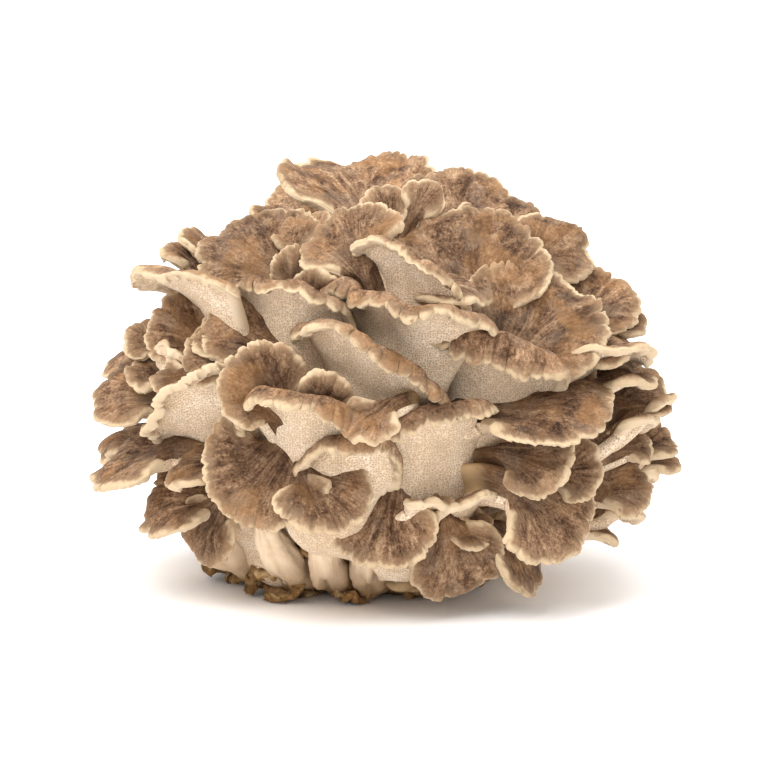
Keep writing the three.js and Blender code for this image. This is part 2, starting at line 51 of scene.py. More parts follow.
# %% [markdown]
# ## The rows that the caps are drawn from
# These are the driving numbers of the solids, in millimetres, so every fine cap lies where its solid lies.
# Only `left_bowl_cap` sits 4 mm further forward, or the corners of its own rolled lip would poke through it.
# A cap is one sector of a trumpet. `rim` is the middle of its rim and `throat` is where its stalk opens.
# `open` is the angle between the trumpet's axis and its wall, and `flare` is how much that angle grows
# outwards. `lip` degrees of roll begin at the share `lip_from` of the way out, and are done at `lip_to`.
# `face` is where the skin looks, `wide` is half the width and `fan` half the angle that a cap spreads over.
# Rows with `joins` are lobes of another cap. Rows with `extra`, such as every `BUD`, are too small to have
# a solid of their own.

# %% Rows of caps, front and sides
USUAL = dict(fan=74, wide=None, open=60, flare=40, lip=15, lip_from=0.6, lip_to=1.0, ruffle=8, waves=3,
             face=(0, 0, 1), slant=0.0, lobes=5, scallop=0.075, thick=8.0, neck=6.0, joins=None, extra=False)
BUD = dict(neck=4, thick=5, extra=True)
FRONT_ROWS = [
    ("crown_cap", (-16, 28, 174), (-9, -12, 151),
     dict(wide=29, open=62, flare=30, lip=8, ruffle=9, waves=4, lobes=8, neck=8)),
    ("crown_leaflet", (-3, -26, 166), (3, -33, 149),
     dict(BUD, wide=11, fan=48, flare=24, lobes=4, face=(0.2, -1, 0.5), lip=10)),
    ("crown_bud", (20, -22, 168), (12, -30, 155),
     dict(BUD, wide=8, fan=50, lobes=3, face=(0.3, -1, 0.8), lip=22)),
    ("crown_right_rear", (34, 8, 169), (26, -20, 142),
     dict(wide=19, open=64, lobes=6, ruffle=10, face=(0, -1, 0.6))),
    ("crown_right_outer", (56, -4, 157), (42, -30, 134), dict(wide=16, open=64, face=(0, -1, 0.6))),
    ("upper_right_cap", (79, -18, 147), (59, -34, 136),
     dict(wide=14, open=66, lobes=6, face=(0, -1, 0.8), ruffle=10)),
    ("upper_right_bud", (77, -24, 132), (66, -30, 131), dict(BUD, wide=6, face=(0, -1, 1))),
    ("great_right_cap", (30, -26, 155), (35, -56, 117),
     dict(wide=29, open=66, flare=36, lip=8, lobes=9, ruffle=7, waves=4, face=(0, -1, 0.5), neck=8)),
    ("right_fan_cap", (74, -50, 134), (52, -66, 105),
     dict(wide=27, open=68, flare=26, lobes=8, face=(0, -1, 0.7), ruffle=9, waves=4, neck=8)),
    ("right_lip_cap", (42, -98, 126), (38, -72, 80),
     dict(wide=25, open=48, flare=58, lip=95, lip_from=0.66, lip_to=0.86, lobes=6, ruffle=9, neck=12,
          thick=11, face=(0.15, 0, 1))),
    ("shoulder_right_cap", (97, -30, 129), (79, -42, 115), dict(wide=14, open=62, face=(0, -1, 0.8))),
    ("shoulder_right_bud_a", (102, -30, 118), (90, -42, 111), dict(BUD, wide=8, face=(0, -1, 0.8), lobes=3)),
    ("shoulder_right_bud_b", (98, -42, 110), (87, -50, 108), dict(BUD, wide=6, face=(0, -1, 0.8), lobes=3)),
    ("shoulder_right_leaflet", (95, -53, 109), (78, -61, 103),
     dict(wide=10, neck=4, thick=5, face=(0, -1, 1), lobes=4, lip=20)),
    ("right_ledge_cap", (106, -42, 103), (70, -60, 92), dict(wide=12, face=(0, 0.35, 1), lip=30, neck=8)),
    ("right_ledge_leaflet", (107, -42, 92), (84, -56, 88),
     dict(wide=9, neck=5, thick=6, face=(0, -0.1, 1), lip=20, extra=True)),
    ("right_outer_cap", (111, -28, 90), (95, -42, 80), dict(wide=14, open=62, face=(0, -1, 0.8))),
    ("right_outer_bud", (114, -32, 81), (103, -45, 76), dict(BUD, wide=5, face=(0, 0.2, 1), lip=20)),
    ("right_tongue_cap", (92, -64, 92), (40, -74, 82),
     dict(wide=19, open=68, flare=26, lobes=8, face=(0.1, -0.35, 1), lip=26, ruffle=9, neck=9)),
    ("right_cream_bud", (108, -42, 72), (92, -53, 68),
     dict(wide=7, neck=4, thick=6, face=(0, 0.5, 1), extra=True)),
    ("right_ruffle", (108, -40, 65), (97, -48, 63), dict(BUD, wide=6, face=(0, -1, 0.6), ruffle=20)),
    ("right_tip_a", (113, -22, 69), (103, -38, 60), dict(BUD, wide=9, face=(0, -1, 0.5))),
    ("right_tip_b", (115, -20, 57), (104, -36, 55), dict(BUD, wide=9, face=(0, -1, 0.6))),
    ("right_lower_cap", (105, -42, 54), (84, -53, 48), dict(wide=19, open=64, lobes=7, face=(0, -1, 0.6))),
    ("right_lower_bud", (110, -30, 47), (101, -38, 48), dict(BUD, wide=4, face=(0, 0.4, 1))),
    ("front_great_cap", (7, -116, 97), (14, -80, 34),
     dict(wide=38, open=46, flare=50, lip=100, lip_from=0.82, lip_to=0.96, lobes=8, thick=13, neck=17,
          face=(-0.22, 0, 1))),
    ("front_great_lobe", (-12, -119, 80), (2, -109, 90),
     dict(wide=12, fan=52, neck=5, thick=5, face=(-0.5, -1, 1.2), lip=30, ruffle=14,
          joins="front_great_cap")),
    ("front_great_wing", (74, -94, 66), (53, -83, 66),
     dict(wide=13, open=62, face=(0, -1, 0.5), joins="front_great_cap")),
    ("front_right_leaflet", (86, -72, 64), (68, -72, 58),
     dict(wide=14, open=62, face=(0, -1, 0.5), lobes=6, neck=5)),
    ("front_right_skirt", (82, -76, 38), (55, -80, 52),
     dict(fan=84, open=68, face=(0, -1, 0.7), lobes=11, neck=7, flare=30, ruffle=7, scallop=0.05)),
    ("front_right_arch", (43, -90, 55), (28, -76, 36),
     dict(wide=15, open=50, flare=60, lip=10, face=(-0.3, 0, 1), neck=9, thick=9, joins="front_right_skirt")),
    ("lower_right_cream_a", (102, -32, 32), (86, -46, 34), dict(wide=9, fan=55, face=(0, 0.15, 1), neck=5)),
    ("lower_right_cream_b", (92, -38, 25), (76, -54, 30), dict(BUD, wide=9, fan=50, face=(0, -0.4, 1))),
    ("lower_right_cap", (64, -60, 14), (43, -74, 32),
     dict(wide=11, open=64, face=(0, -0.9, 1), lobes=4, neck=5)),
    ("lower_right_bud", (43, -84, 34), (29, -81, 38), dict(BUD, wide=6, face=(0, -1, 1))),
    ("front_hanging_cap", (33, -80, 9), (25, -84, 37), dict(wide=14, open=64, face=(0, -1, 0.6))),
    ("front_low_cap", (-9, -98, 25), (2, -86, 51),
     dict(wide=22, open=64, face=(0, -1, 0.8), lobes=7, flare=30)),
    ("front_low_bud", (26, -97, 50), (12, -92, 46),
     dict(wide=3.5, neck=4, thick=6, face=(0, 0.3, 1), extra=True)),
    ("upper_left_cap", (-64, -28, 153), (-40, -48, 131),
     dict(wide=21, open=64, lobes=7, face=(0, -1, 0.8), flare=34, lip=22)),
    ("upper_left_bud", (-80, -20, 147), (-68, -30, 137), dict(BUD, wide=6)),
    ("upper_left_leaflet", (-36, -30, 156), (-29, -42, 142),
     dict(wide=8, neck=4, thick=6, face=(0, -1, 0.6), extra=True)),
    ("upper_middle_cap", (-17, -50, 158), (-8, -66, 138),
     dict(wide=22, open=54, flare=36, lobes=8, face=(-0.2, -1, 0.5))),
    ("middle_high_cap", (3, -88, 155), (9, -73, 112),
     dict(wide=19, open=44, flare=60, lip=80, lip_from=0.82, lip_to=0.97, lobes=6, neck=11, thick=10,
          face=(0.14, 0, 1), ruffle=9)),
    ("middle_tongue", (40, -84, 130), (14, -70, 129),
     dict(wide=7, fan=50, open=66, neck=5, face=(0, -0.15, 1), lobes=4, lip=24)),
    ("middle_wide_cap", (-12, -96, 139), (6, -74, 95),
     dict(wide=43, open=50, flare=54, lip=80, lip_from=0.8, lip_to=0.95, ruffle=15, waves=4, lobes=8,
          neck=15, thick=11)),
    ("middle_cap", (-16, -110, 122), (-7, -80, 74),
     dict(wide=32, open=46, flare=54, lip=90, lip_from=0.83, lip_to=0.97, slant=-0.06, lobes=9, neck=14,
          thick=11, face=(0.2, 0, 1))),
    ("left_high_cap", (-44, -86, 143), (-37, -68, 97),
     dict(wide=21, open=46, flare=58, lip=90, lip_from=0.81, lip_to=0.96, lobes=6, neck=11, thick=10,
          face=(0.05, 0, 1), ruffle=10)),
    ("left_high_leaflet", (-38, -60, 146), (-36, -62, 130), dict(BUD, wide=8, fan=50, face=(0.2, -1, 0.8))),
    ("left_high_ruffle", (-24, -74, 140), (-28, -68, 126),
     dict(BUD, wide=9, fan=50, face=(0, -1, 0.7), ruffle=18, lip=30)),
    ("left_shoulder_cap", (-97, -44, 134), (-58, -58, 104),
     dict(wide=29, open=46, flare=50, lip=40, lip_from=0.75, lobes=8, neck=10, face=(-0.1, 0.35, 1))),
    ("left_shoulder_bud", (-88, -22, 142), (-78, -30, 134), dict(BUD, wide=7)),
    ("left_inner_cap", (-68, -62, 122), (-47, -66, 108), dict(wide=17, face=(0, -1, 0.7))),
    ("left_shell_cap", (-94, -46, 115), (-75, -50, 106), dict(wide=15, face=(0, -1, 0.8), lobes=6)),
    ("left_shell_bud", (-103, -34, 109), (-92, -40, 104), dict(BUD, wide=8, face=(0, -1, 0.6))),
    ("left_cream_cup", (-88, -64, 108), (-84, -60, 95), dict(wide=7, neck=5, thick=6, open=40, extra=True)),
    ("left_ruffle", (-80, -72, 103), (-62, -74, 102),
     dict(wide=11, neck=5, face=(0, -1, 1), ruffle=16, lobes=6)),
    ("left_ruffle_tip", (-76, -66, 114), (-60, -70, 110), dict(BUD, wide=7, face=(0, -1, 1))),
    ("left_outer_cap", (-112, -28, 88), (-88, -46, 82), dict(wide=18, open=66, face=(0, -1, 0.9), lobes=10)),
    ("left_outer_leaflet", (-99, -40, 101), (-86, -48, 90), dict(BUD, wide=12, face=(0, -1, 1))),
    ("left_pale_cap", (-87, -82, 98), (-46, -66, 58),
     dict(wide=32, open=50, flare=48, lip=40, lip_from=0.78, lobes=7, neck=15, thick=11, face=(-0.1, 0.8,
          1))),
    ("left_pale_lobe", (-92, -70, 94), (-78, -72, 96), dict(BUD, wide=8, fan=50, face=(0, -0.8, 1))),
    ("left_bowl_cap", (-58, -94, 110), (-44, -88, 89),
     dict(wide=15, open=58, flare=36, lip=14, lobes=7, neck=7, face=(0.1, -1, 0.45))),
    ("left_bowl_lip", (-34, -118, 102), (-24, -89, 47),
     dict(wide=26, open=46, flare=56, lip=105, lip_from=0.78, lip_to=0.93, lobes=9, neck=14, thick=12,
          face=(0.05, 0, 1), joins="left_bowl_cap")),
    ("left_bowl_petal", (-20, -106, 105), (-25, -97, 88),
     dict(BUD, wide=9, fan=50, face=(0.2, -1, 0.5), lobes=3)),
    ("left_low_cap", (-112, -24, 55), (-84, -50, 62),
     dict(wide=19, open=66, face=(0, -0.9, 1), lobes=10, flare=26)),
    ("left_low_leaflet", (-89, -68, 58), (-68, -70, 59), dict(wide=12, face=(0, -0.5, 1), lip=34, lobes=6)),
    ("front_left_skirt", (-61, -100, 46), (-45, -86, 60),
     dict(fan=88, open=66, face=(0, -1, 1), lobes=13, flare=32, lip=18, neck=9, scallop=0.05)),
    ("front_left_wing", (-16, -113, 44), (-28, -96, 57),
     dict(wide=18, open=64, face=(0, -0.8, 1), lobes=7, lip=26, joins="front_left_skirt")),
    ("lower_left_cap", (-98, -42, 41), (-68, -58, 43), dict(wide=11, open=66, face=(0, -0.9, 1), lobes=7)),
    ("lower_left_bud", (-93, -36, 28), (-80, -46, 33), dict(BUD, wide=6, face=(0, -0.6, 1))),
    ("left_hanging_cap", (-76, -60, 22), (-64, -64, 40), dict(wide=11, face=(0, -1, 1), lobes=4, neck=5)),
    ("lower_left_stalk", (-70, -60, 38), (-46, -44, 16),
     dict(wide=10, open=40, flare=30, neck=9, thick=12, lip=20, face=(0, 0.2, 1))),
]
caps = [dict(USUAL, name=name, rim=rim, throat=throat, seed=7 * place, **more)
        for place, (name, rim, throat, more) in enumerate(FRONT_ROWS)]
print("front rows:", len(caps))

# %% [markdown]
# ## Numbers that look random but never change
# Real caps differ in every measure, so each row needs its own small random numbers. A sine with a huge factor
# gives them from a seed alone. It is the same formula that made the solids, so both agree. Hills are random
# heights on a square grid with soft slopes between, and they are what bends and wrinkles the flesh.

# %% Repeatable numbers
HILL_SQUARES = 64  # the pattern of hills starts again after this many


def dice(seed, channel):
    """A repeatable number from 0 to 1."""
    wave = math.sin(seed * 12.9898 + channel * 78.233) * 43758.5453
    return wave - math.floor(wave)


def smooth(start, end, value):
    """0 below start, 1 above end, and a soft S between."""
    share = np.clip((value - start) / (end - start), 0, 1)
    return share * share * (3 - 2 * share)


def unit(vector):
    """The vector at length 1."""
    return vector / np.linalg.norm(vector)


def hills(x, y, seed):
    """Smooth random hills from -1 to 1, one to a square of side 1."""
    size = HILL_SQUARES
    heights = np.random.default_rng(seed).uniform(-1, 1, (size, size))
    column, row = np.floor(x).astype(int), np.floor(y).astype(int)
    right, up = x - column, y - row
    right, up = right * right * (3 - 2 * right), up * up * (3 - 2 * up)
    here = heights[column % size, row % size] * (1 - right) + heights[(column + 1) % size, row % size] * right
    above = heights[column % size, (row + 1) % size] * (1 - right) \
        + heights[(column + 1) % size, (row + 1) % size] * right
    return here * (1 - up) + above * up


# %% [markdown]
# ## The back of the cluster
# Maitake grows on all sides. The back is drawn as five rings of caps, each a little different from its
# neighbour, with the same rings, seeds and sums as the solids.

# %% Rings of caps at the back
# height, radius, count, first and last bearing, pitch of the cap, its length, half its width
BACK_RINGS = [
    (30, 92, 4, 20, 160, -18, 36, 26),
    (58, 114, 5, 4, 176, 4, 42, 31),
    (90, 117, 5, 18, 162, 26, 46, 32),
    (130, 94, 3, 24, 152, 44, 46, 33),
    (160, 56, 2, 48, 116, 54, 44, 30),
]
BACK_CENTRE_X = -4
BACK_DEPTH = 0.92  # the back is a little flatter than a circle
FIRST_BACK_SEED, SEEDS_PER_RING = 100, 10
# how widely the caps of a ring are spread, in degrees and millimetres, and the size as a share
BACK_SPREAD = dict(bearing=10, height=8, size=0.3, pitch=24, heading=36)


def back_ring(number, height, radius, count, first, last, pitch, length, wide):
    """The caps of one ring, low to high, as rows."""
    rows = []
    for place in range(count):
        seed = FIRST_BACK_SEED + number * SEEDS_PER_RING + place
        vary = lambda what, channel: BACK_SPREAD[what] * (dice(seed, channel) - 0.5)
        bearing = math.radians(first + (last - first) * place / (count - 1) + vary("bearing", 1))
        size = 1 + vary("size", 3)
        tilt = math.radians(pitch + vary("pitch", 4))
        heading = bearing + math.radians(vary("heading", 5))
        rim = (BACK_CENTRE_X + radius * math.cos(bearing),
               radius * BACK_DEPTH * math.sin(bearing),
               height + vary("height", 2))
        throat = (rim[0] - length * size * math.cos(tilt) * math.cos(heading),
                  rim[1] - length * size * math.cos(tilt) * math.sin(heading),
                  rim[2] - length * size * math.sin(tilt))
        steep = dice(seed, 6)
        rows.append(dict(
            USUAL, name=f"back_ring_{number + 1}_cap_{place + 1}", rim=rim, throat=throat, seed=seed,
            wide=wide * size, open=52 + 16 * steep, flare=34 + 20 * (1 - steep), lip=14 + 26 * dice(seed, 7),
            lobes=6 + int(4 * dice(seed, 8)), ruffle=10, waves=4, neck=7 + 4 * dice(seed, 9), thick=9,
            face=(0.5 * math.cos(bearing) * (steep - 0.3), 0.5 * math.sin(bearing) * (steep - 0.3), 1)))
    return rows


for number, ring in enumerate(BACK_RINGS):
    caps += back_ring(number, *ring)
print("rows with the back:", len(caps))

# %% [markdown]
# ## The lobed rim
# A maitake rim isn't a plain arc. It is a chain of rounded lobes with a sharp notch between each pair,
# because neighbouring parts of the rim grow at their own speed. A half circle for each lobe gives exactly
# that: round at the top, and a cusp where two meet. Chains of smaller lobes run along it too, out of step
# with the big ones.

# %% Lobes along a rim
def rim_lobes(side, count, seed):
    """For places from -1 to 1 across a cap: how far the rim stands out there, and how near a notch is."""
    widths = np.array([0.45 + 1.1 * dice(seed, 20 + lobe) for lobe in range(count)])
    widths /= widths.sum()
    borders = -1 + 2 * np.concatenate([[0], np.cumsum(widths)])
    lobe = np.clip(np.searchsorted(borders, side, side="right") - 1, 0, count - 1)
    along = (side - borders[lobe]) / (borders[lobe + 1] - borders[lobe])
    depth = np.array([0.5 + 0.8 * dice(seed, 60 + number) for number in range(count)])[lobe]
    round_out = (np.sqrt(np.clip(1 - (2 * along - 1) ** 2, 0, 1)) - 0.75) * widths[lobe] * count * depth
    sharpness = np.array([dice(seed, 120 + border) for border in range(count + 1)])[lobe + (along > 0.5)]
    notch = (1 - np.minimum(along, 1 - along) * 2) * smooth(0.3, 0.8, sharpness)
    return round_out, notch


# %% [markdown]
# ## The sheet of one cap
# The middle sheet is laid out as a grid: columns across the cap and rows from the root of the stalk to the
# rim. A stalk is a curved path that leaves the foot and turns into the trumpet's wall. Going outwards, the
# wall's angle opens, ruffles and at last rolls over the lip, and adding up small steps along it gives the
# height and the radius. This way is chosen over bending a flat fan, because real caps keep their width as
# they curl.

# %% Numbers of the middle sheet
BRANCHING = np.array([-10.0, 0.0, 14.0])  # the point in the foot that every branch grows away from
ROOT_SHARE = 0.42  # a stalk starts this far from there to its throat
STALK_TAPER = 0.35  # how much narrower a stalk is at its root
STALK_CELLS = 1.6  # how much longer the cells of a stalk are than those of a cap
HANDLE_SHARE = 0.4  # how strongly a stalk's two ends steer its curve
WALL_STEPS = 200  # steps in adding up a trumpet's wall
FLARE_POWER = 1.3  # how late on its way out a cap opens
FAN_GROWTH = 0.1  # a cap spreads over this share more at its rim
FREE_SIDE_SHARE = 0.85  # a cap with no width of its own reaches this far at its sides
SIDE_LIMITS = (0.3, 1.15)  # limits of a cap's reach at its sides
SIDE_POWER = 2.2  # how late across its width a cap gets shorter
CORNER_CUT, CORNER_POWER = 0.12, 6  # how much the corners of a rim are rounded off, and how late
RIM_WAVE = dict(size=0.05, slow=1.7, fast=3.9)  # the uneven outline of a rim
LOBE_SHARES = dict(big=0.85, medium=0.75, small=0.5)  # how far each chain of lobes stands out
SECOND_RUFFLE = dict(size=0.55, rate=1.3)  # the finer ruffle on top of the first
LIP_WAVE = dict(size=0.35, rate=5)  # how unevenly a lip rolls over along a rim
EDGE_STEPS = np.array([0, 0.04, 0.14, 0.3, 0.52, 0.78])  # close rows where the rim rounds off
EDGE_MM = 3.2  # how far in from the edge they reach


# %% The trumpet and the stalk of a cap
def spaced(step_count, edge_share, both_ends):
    """Even places from 0 to 1, with close ones at the far end, or at both."""
    middle = np.linspace(edge_share if both_ends else 0, 1 - edge_share, step_count + 1)
    ends = [1 - edge_share * EDGE_STEPS] + ([edge_share * EDGE_STEPS] if both_ends else [])
    return np.unique(np.concatenate([middle, *ends]))


def trumpet(cap):
    """The axes, the length and the angles of the trumpet that a cap is a sector of."""
    rim, throat, face = (np.array(cap[key], float) for key in ("rim", "throat", "face"))
    outward = unit(rim - throat)
    up = unit(face - (face @ outward) * outward)
    start = math.radians(cap["open"] - cap["flare"] / 2)
    end = math.radians(cap["open"] + cap["flare"] / 2)
    share = np.linspace(0, 1, WALL_STEPS)
    wall = start + (end - start) * share ** FLARE_POWER
    rise, reach = np.trapz(np.cos(wall), share), np.trapz(np.sin(wall), share)
    length = np.linalg.norm(rim - throat) / math.hypot(rise, reach)
    lean = math.atan2(reach, rise)
    axis = math.cos(lean) * outward + math.sin(lean) * up
    away = math.sin(lean) * outward - math.cos(lean) * up
    across = np.cross(axis, away)
    across *= 1.0 if across[0] >= 0 else -1.0
    spread = math.radians(cap["fan"])
    side_share = FREE_SIDE_SHARE
    if cap["wide"]:
        side_share = np.clip((cap["wide"] / math.sin(spread) - cap["neck"]) / (length * reach), *SIDE_LIMITS)
    return SimpleNamespace(throat=throat, axis=axis, away=away, across=across, length=length, reach=reach,
                           start=start, end=end, lean=lean, spread=spread, side_share=side_share)


def stalk_rows(cap, cone, side, step):
    """The rows of the stalk from its root to the throat, how far each lies from the throat, and its back."""
    root = BRANCHING + (cone.throat - BRANCHING) * ROOT_SHARE
    length = np.linalg.norm(cone.throat - root)
    count = max(3, int(length / (step * STALK_CELLS)))
    t = np.linspace(0, 1, count + 1)[:-1, None]
    arrive = math.cos(cone.start) * cone.axis + math.sin(cone.start) * cone.away
    knots = [root, root + unit(cone.throat - BRANCHING) * length * HANDLE_SHARE,
             cone.throat - arrive * length * HANDLE_SHARE, cone.throat]
    path = (1 - t) ** 3 * knots[0] + 3 * (1 - t) ** 2 * t * knots[1] + 3 * (1 - t) * t ** 2 * knots[2] \
        + t ** 3 * knots[3]
    heading = 3 * (1 - t) ** 2 * (knots[1] - knots[0]) + 6 * (1 - t) * t * (knots[2] - knots[1]) \
        + 3 * t ** 2 * (knots[3] - knots[2])
    heading /= np.linalg.norm(heading, axis=1)[:, None]
    straight = 1 - smooth(0.5, 1, t)
    normal = cone.away - straight * (heading @ cone.away)[:, None] * heading
    sideways = cone.across - straight * (heading @ cone.across)[:, None] * heading
    normal /= np.linalg.norm(normal, axis=1)[:, None]
    sideways /= np.linalg.norm(sideways, axis=1)[:, None]
    radius = cap["neck"] * (1 - STALK_TAPER * (1 - t[:, 0]))
    angle = side[:, None] * cone.spread
    points = path[None] + (radius * (np.cos(angle) - 1))[..., None] * normal \
        + (radius * np.sin(angle))[..., None] * sideways
    return points, (1 - t[:, 0]) * length, normal


# %% The grid of a cap
def rim_run(cap, cone, across, out, phase):
    """How far each point lies from the throat along the wall, and the rim's big lobes and notches."""
    seed, lobes = cap["seed"], cap["lobes"]
    big, notch = rim_lobes(across, lobes, seed)
    medium, _ = rim_lobes(across, int(2.3 * lobes) + 1, seed + 31)
    small, _ = rim_lobes(across, 5 * lobes + 2, seed + 57)
    scallops = cap["scallop"] * (LOBE_SHARES["big"] * big + LOBE_SHARES["medium"] * medium
                                 + LOBE_SHARES["small"] * small)
    wave = 0.5 * np.sin(RIM_WAVE["slow"] * across + phase[6]) \
        + 0.5 * np.sin(RIM_WAVE["fast"] * across + phase[7])
    far = cone.length * (1 + cap["slant"] * across + RIM_WAVE["size"] * wave)
    far *= (1 - (1 - cone.side_share) * np.abs(across) ** SIDE_POWER) \
        * (1 - CORNER_CUT * np.abs(across) ** CORNER_POWER)
    return far * (out + scallops * smooth(cap["lip_from"], 1, out) * out), big, notch


def wall_angles(cap, cone, across, out, phase):
    """The angle between the axis and the wall at each point, with the ruffles and the rolled lip."""
    turns = math.pi * cap["waves"]
    ruffle = math.radians(cap["ruffle"]) * (
        np.sin(turns * 0.5 * across + phase[3])
        + SECOND_RUFFLE["size"] * np.sin(turns * SECOND_RUFFLE["rate"] * across + phase[4]))
    roll = math.radians(cap["lip"]) * (1 + LIP_WAVE["size"] * np.sin(LIP_WAVE["rate"] * across + phase[5]))
    return cone.start + (cone.end - cone.start) * out ** FLARE_POWER \
        + roll * smooth(cap["lip_from"], cap["lip_to"], out) + ruffle * out ** 2


def cap_sheet(cap, step):
    """The middle sheet of a cap as a grid of points, with what its finish needs to know at each of them."""
    cone = trumpet(cap)
    neck, spread = cap["neck"], cone.spread
    phase = [2 * math.pi * dice(cap["seed"], channel) for channel in range(8)]
    half = (neck + cone.length * cone.reach) * spread
    side = 2 * spaced(max(6, int(2 * half / step)), min(0.22, EDGE_MM / half / 2), True) - 1
    out = spaced(max(5, int(cone.length / step)), min(0.45, EDGE_MM / cone.length), False)
    across, out_grid = np.meshgrid(side, out, indexing="ij")
    run, big, notch = rim_run(cap, cone, across, out_grid, phase)
    wall = wall_angles(cap, cone, across, out_grid, phase)
    stepped = np.diff(run, axis=1)
    between = (wall[:, 1:] + wall[:, :-1]) / 2
    nothing = np.zeros((len(side), 1))
    rise = np.concatenate([nothing, np.cumsum(np.cos(between) * stepped, 1)], 1)
    radius = neck + np.concatenate([nothing, np.cumsum(np.sin(between) * stepped, 1)], 1)
    angle = across * spread * (1 + FAN_GROWTH * out_grid)
    blade = cone.throat + rise[..., None] * cone.axis \
        + (radius * np.cos(angle) - neck)[..., None] * cone.away \
        + (radius * np.sin(angle))[..., None] * cone.across
    stalk, before, stalk_back = stalk_rows(cap, cone, side, step)
    stalk_count = len(before)
    per_column = lambda values: np.repeat(values[None], len(side), 0)
    edge = (1 - np.abs(side))[:, None] * spread
    points = np.concatenate([stalk, blade], 1)
    along = np.concatenate([per_column(-before), run], 1)
    to_front = np.concatenate([per_column(before + cone.length), run[:, -1:] - run], 1)
    to_side = np.concatenate([np.repeat(edge * neck, stalk_count, 1), edge * radius], 1)
    share = np.concatenate([np.zeros((len(side), stalk_count)), out_grid], 1)
    normal = np.cross(np.gradient(points, axis=0), np.gradient(points, axis=1))
    normal /= np.linalg.norm(normal, axis=2)[..., None] + 1e-12
    middle = normal[len(side) // 2, stalk_count + len(out) // 2]
    turned = middle @ (math.sin(cone.lean) * cone.axis - math.cos(cone.lean) * cone.away) < 0
    # a stalk is round, so its hollow side is filled, less and less towards the blade
    inward = -np.concatenate(
        [np.broadcast_to(stalk_back, stalk.shape), np.broadcast_to(cone.away, blade.shape)], 1)
    filled = 2 * neck * (np.cos(side * spread) - math.cos(spread))[:, None] * (1 - smooth(0.0, 0.34, share))
    widen = lambda values: np.concatenate([np.repeat(values[:, :1], stalk_count, 1), values], 1)
    return dict(points=points, normal=-normal if turned else normal, turned=turned, along=along, share=share,
                filling=inward * filled[..., None], to_front=to_front, to_side=to_side,
                to_rim=np.minimum(to_front, to_side), big=widen(big), notch=widen(notch),
                angle=np.repeat((side * spread)[:, None], share.shape[1], 1),
                radius=np.concatenate([np.full((len(side), stalk_count), neck), radius], 1))


# %% [markdown]
# ## From a sheet to a fleshy cap
# The flesh is thick at the throat and about three millimetres at the rim, and every rim is round like a
# lip. So the grid is doubled, one skin above and one below, and the two close in along a quarter circle at
# the edge. Creases run inwards from the notches, the flesh wrinkles, and fine fibres stand up on the upper
# skin. All of this is moved in the mesh itself, so it shows on the outline too. What the finishes need is
# kept at each point: how far the rim is, how far out it lies, where it lies across, how near a crease is.

# %% Skins, creases and fibres
RIM_THICKNESS = 2.9
THINNING_POWER = 1.6  # how fast a cap thins from throat to rim
TOP_SHARE = 0.35  # how much of the thickness lies above the middle sheet
BEAD = 0.9  # how much thicker the flesh is just inside the rim
CREASE_DEPTH = 0.7
ROLLED_LIP = (40, 80)  # over this range of roll, in degrees, a lip loses its folds and creases
FLOOR_GAP = 0.3  # nothing hangs lower than this


def flesh(cap, sheet):
    """How thick the flesh is at each point, and how far the quarter circle at the edge has opened there."""
    thickness = RIM_THICKNESS + (cap["thick"] - RIM_THICKNESS) * (1 - sheet["share"]) ** THINNING_POWER
    corner = np.maximum(1.4, thickness / 2)
    opened = np.sqrt(np.clip(1 - (1 - np.clip(sheet["to_rim"] / corner, 0, 1)) ** 2, 0, 1))
    bead = BEAD * smooth(0.4, 2.2, sheet["to_front"]) * (1 - smooth(2.2, 6.0, sheet["to_front"]))
    return thickness * opened + bead, opened


def folds(cap, sheet):
    """How far folds, wrinkles and the ripples near the rim lift the flesh."""
    share, along, angle, seed = sheet["share"], sheet["along"], sheet["angle"], cap["seed"]
    over_mm = angle * sheet["radius"]
    flat = 1 - smooth(*ROLLED_LIP, cap["lip"])
    fold = (0.3 + flat) * sheet["big"] * share ** 2 \
        + 3.2 * hills(angle * 2.4 + 9, share * 0.7, seed + 6) * share ** 1.5
    wrinkle = (0.9 * hills(over_mm / 11, along / 13, seed + 1)
               + 0.4 * hills(over_mm / 4.6, along / 7, seed + 2)) * smooth(0.05, 0.5, share)
    ripple = (1 - smooth(2, 14, sheet["to_front"])) * hills(over_mm / 3.2, along / 7, seed + 3)
    return (fold + wrinkle + ripple) * smooth(0, 2, sheet["to_rim"] + 0.8)


def grid_quads(grid):
    """The quads between the neighbouring points of a grid."""
    return np.stack([grid[:-1, :-1], grid[1:, :-1], grid[1:, 1:], grid[:-1, 1:]], -1).reshape(-1, 4)


def cap_faces(columns, rows):
    """The faces of two grids joined at their edges, and their finish: 0 for the skin, 1 for the rest."""
    top = np.arange(columns * rows).reshape(columns, rows)
    bottom = top + columns * rows
    strip = lambda one, two: np.stack([one[:-1], one[1:], two[1:], two[:-1]], -1)
    upper = grid_quads(top)
    faces = np.concatenate([
        upper, grid_quads(bottom)[:, ::-1], strip(top[:, -1], bottom[:, -1]), strip(bottom[:, 0], top[:, 0]),
        strip(bottom[-1, :], top[-1, :]), strip(top[0, :], bottom[0, :])])
    return faces, (np.arange(len(faces)) >= len(upper)).astype(int)


# %% The surface of a whole cap
FAN_RADIUS = 26  # the streaks are counted in millimetres at this radius, so they spread like a fan
TONE_SHIFT = 97  # and start elsewhere on every cap


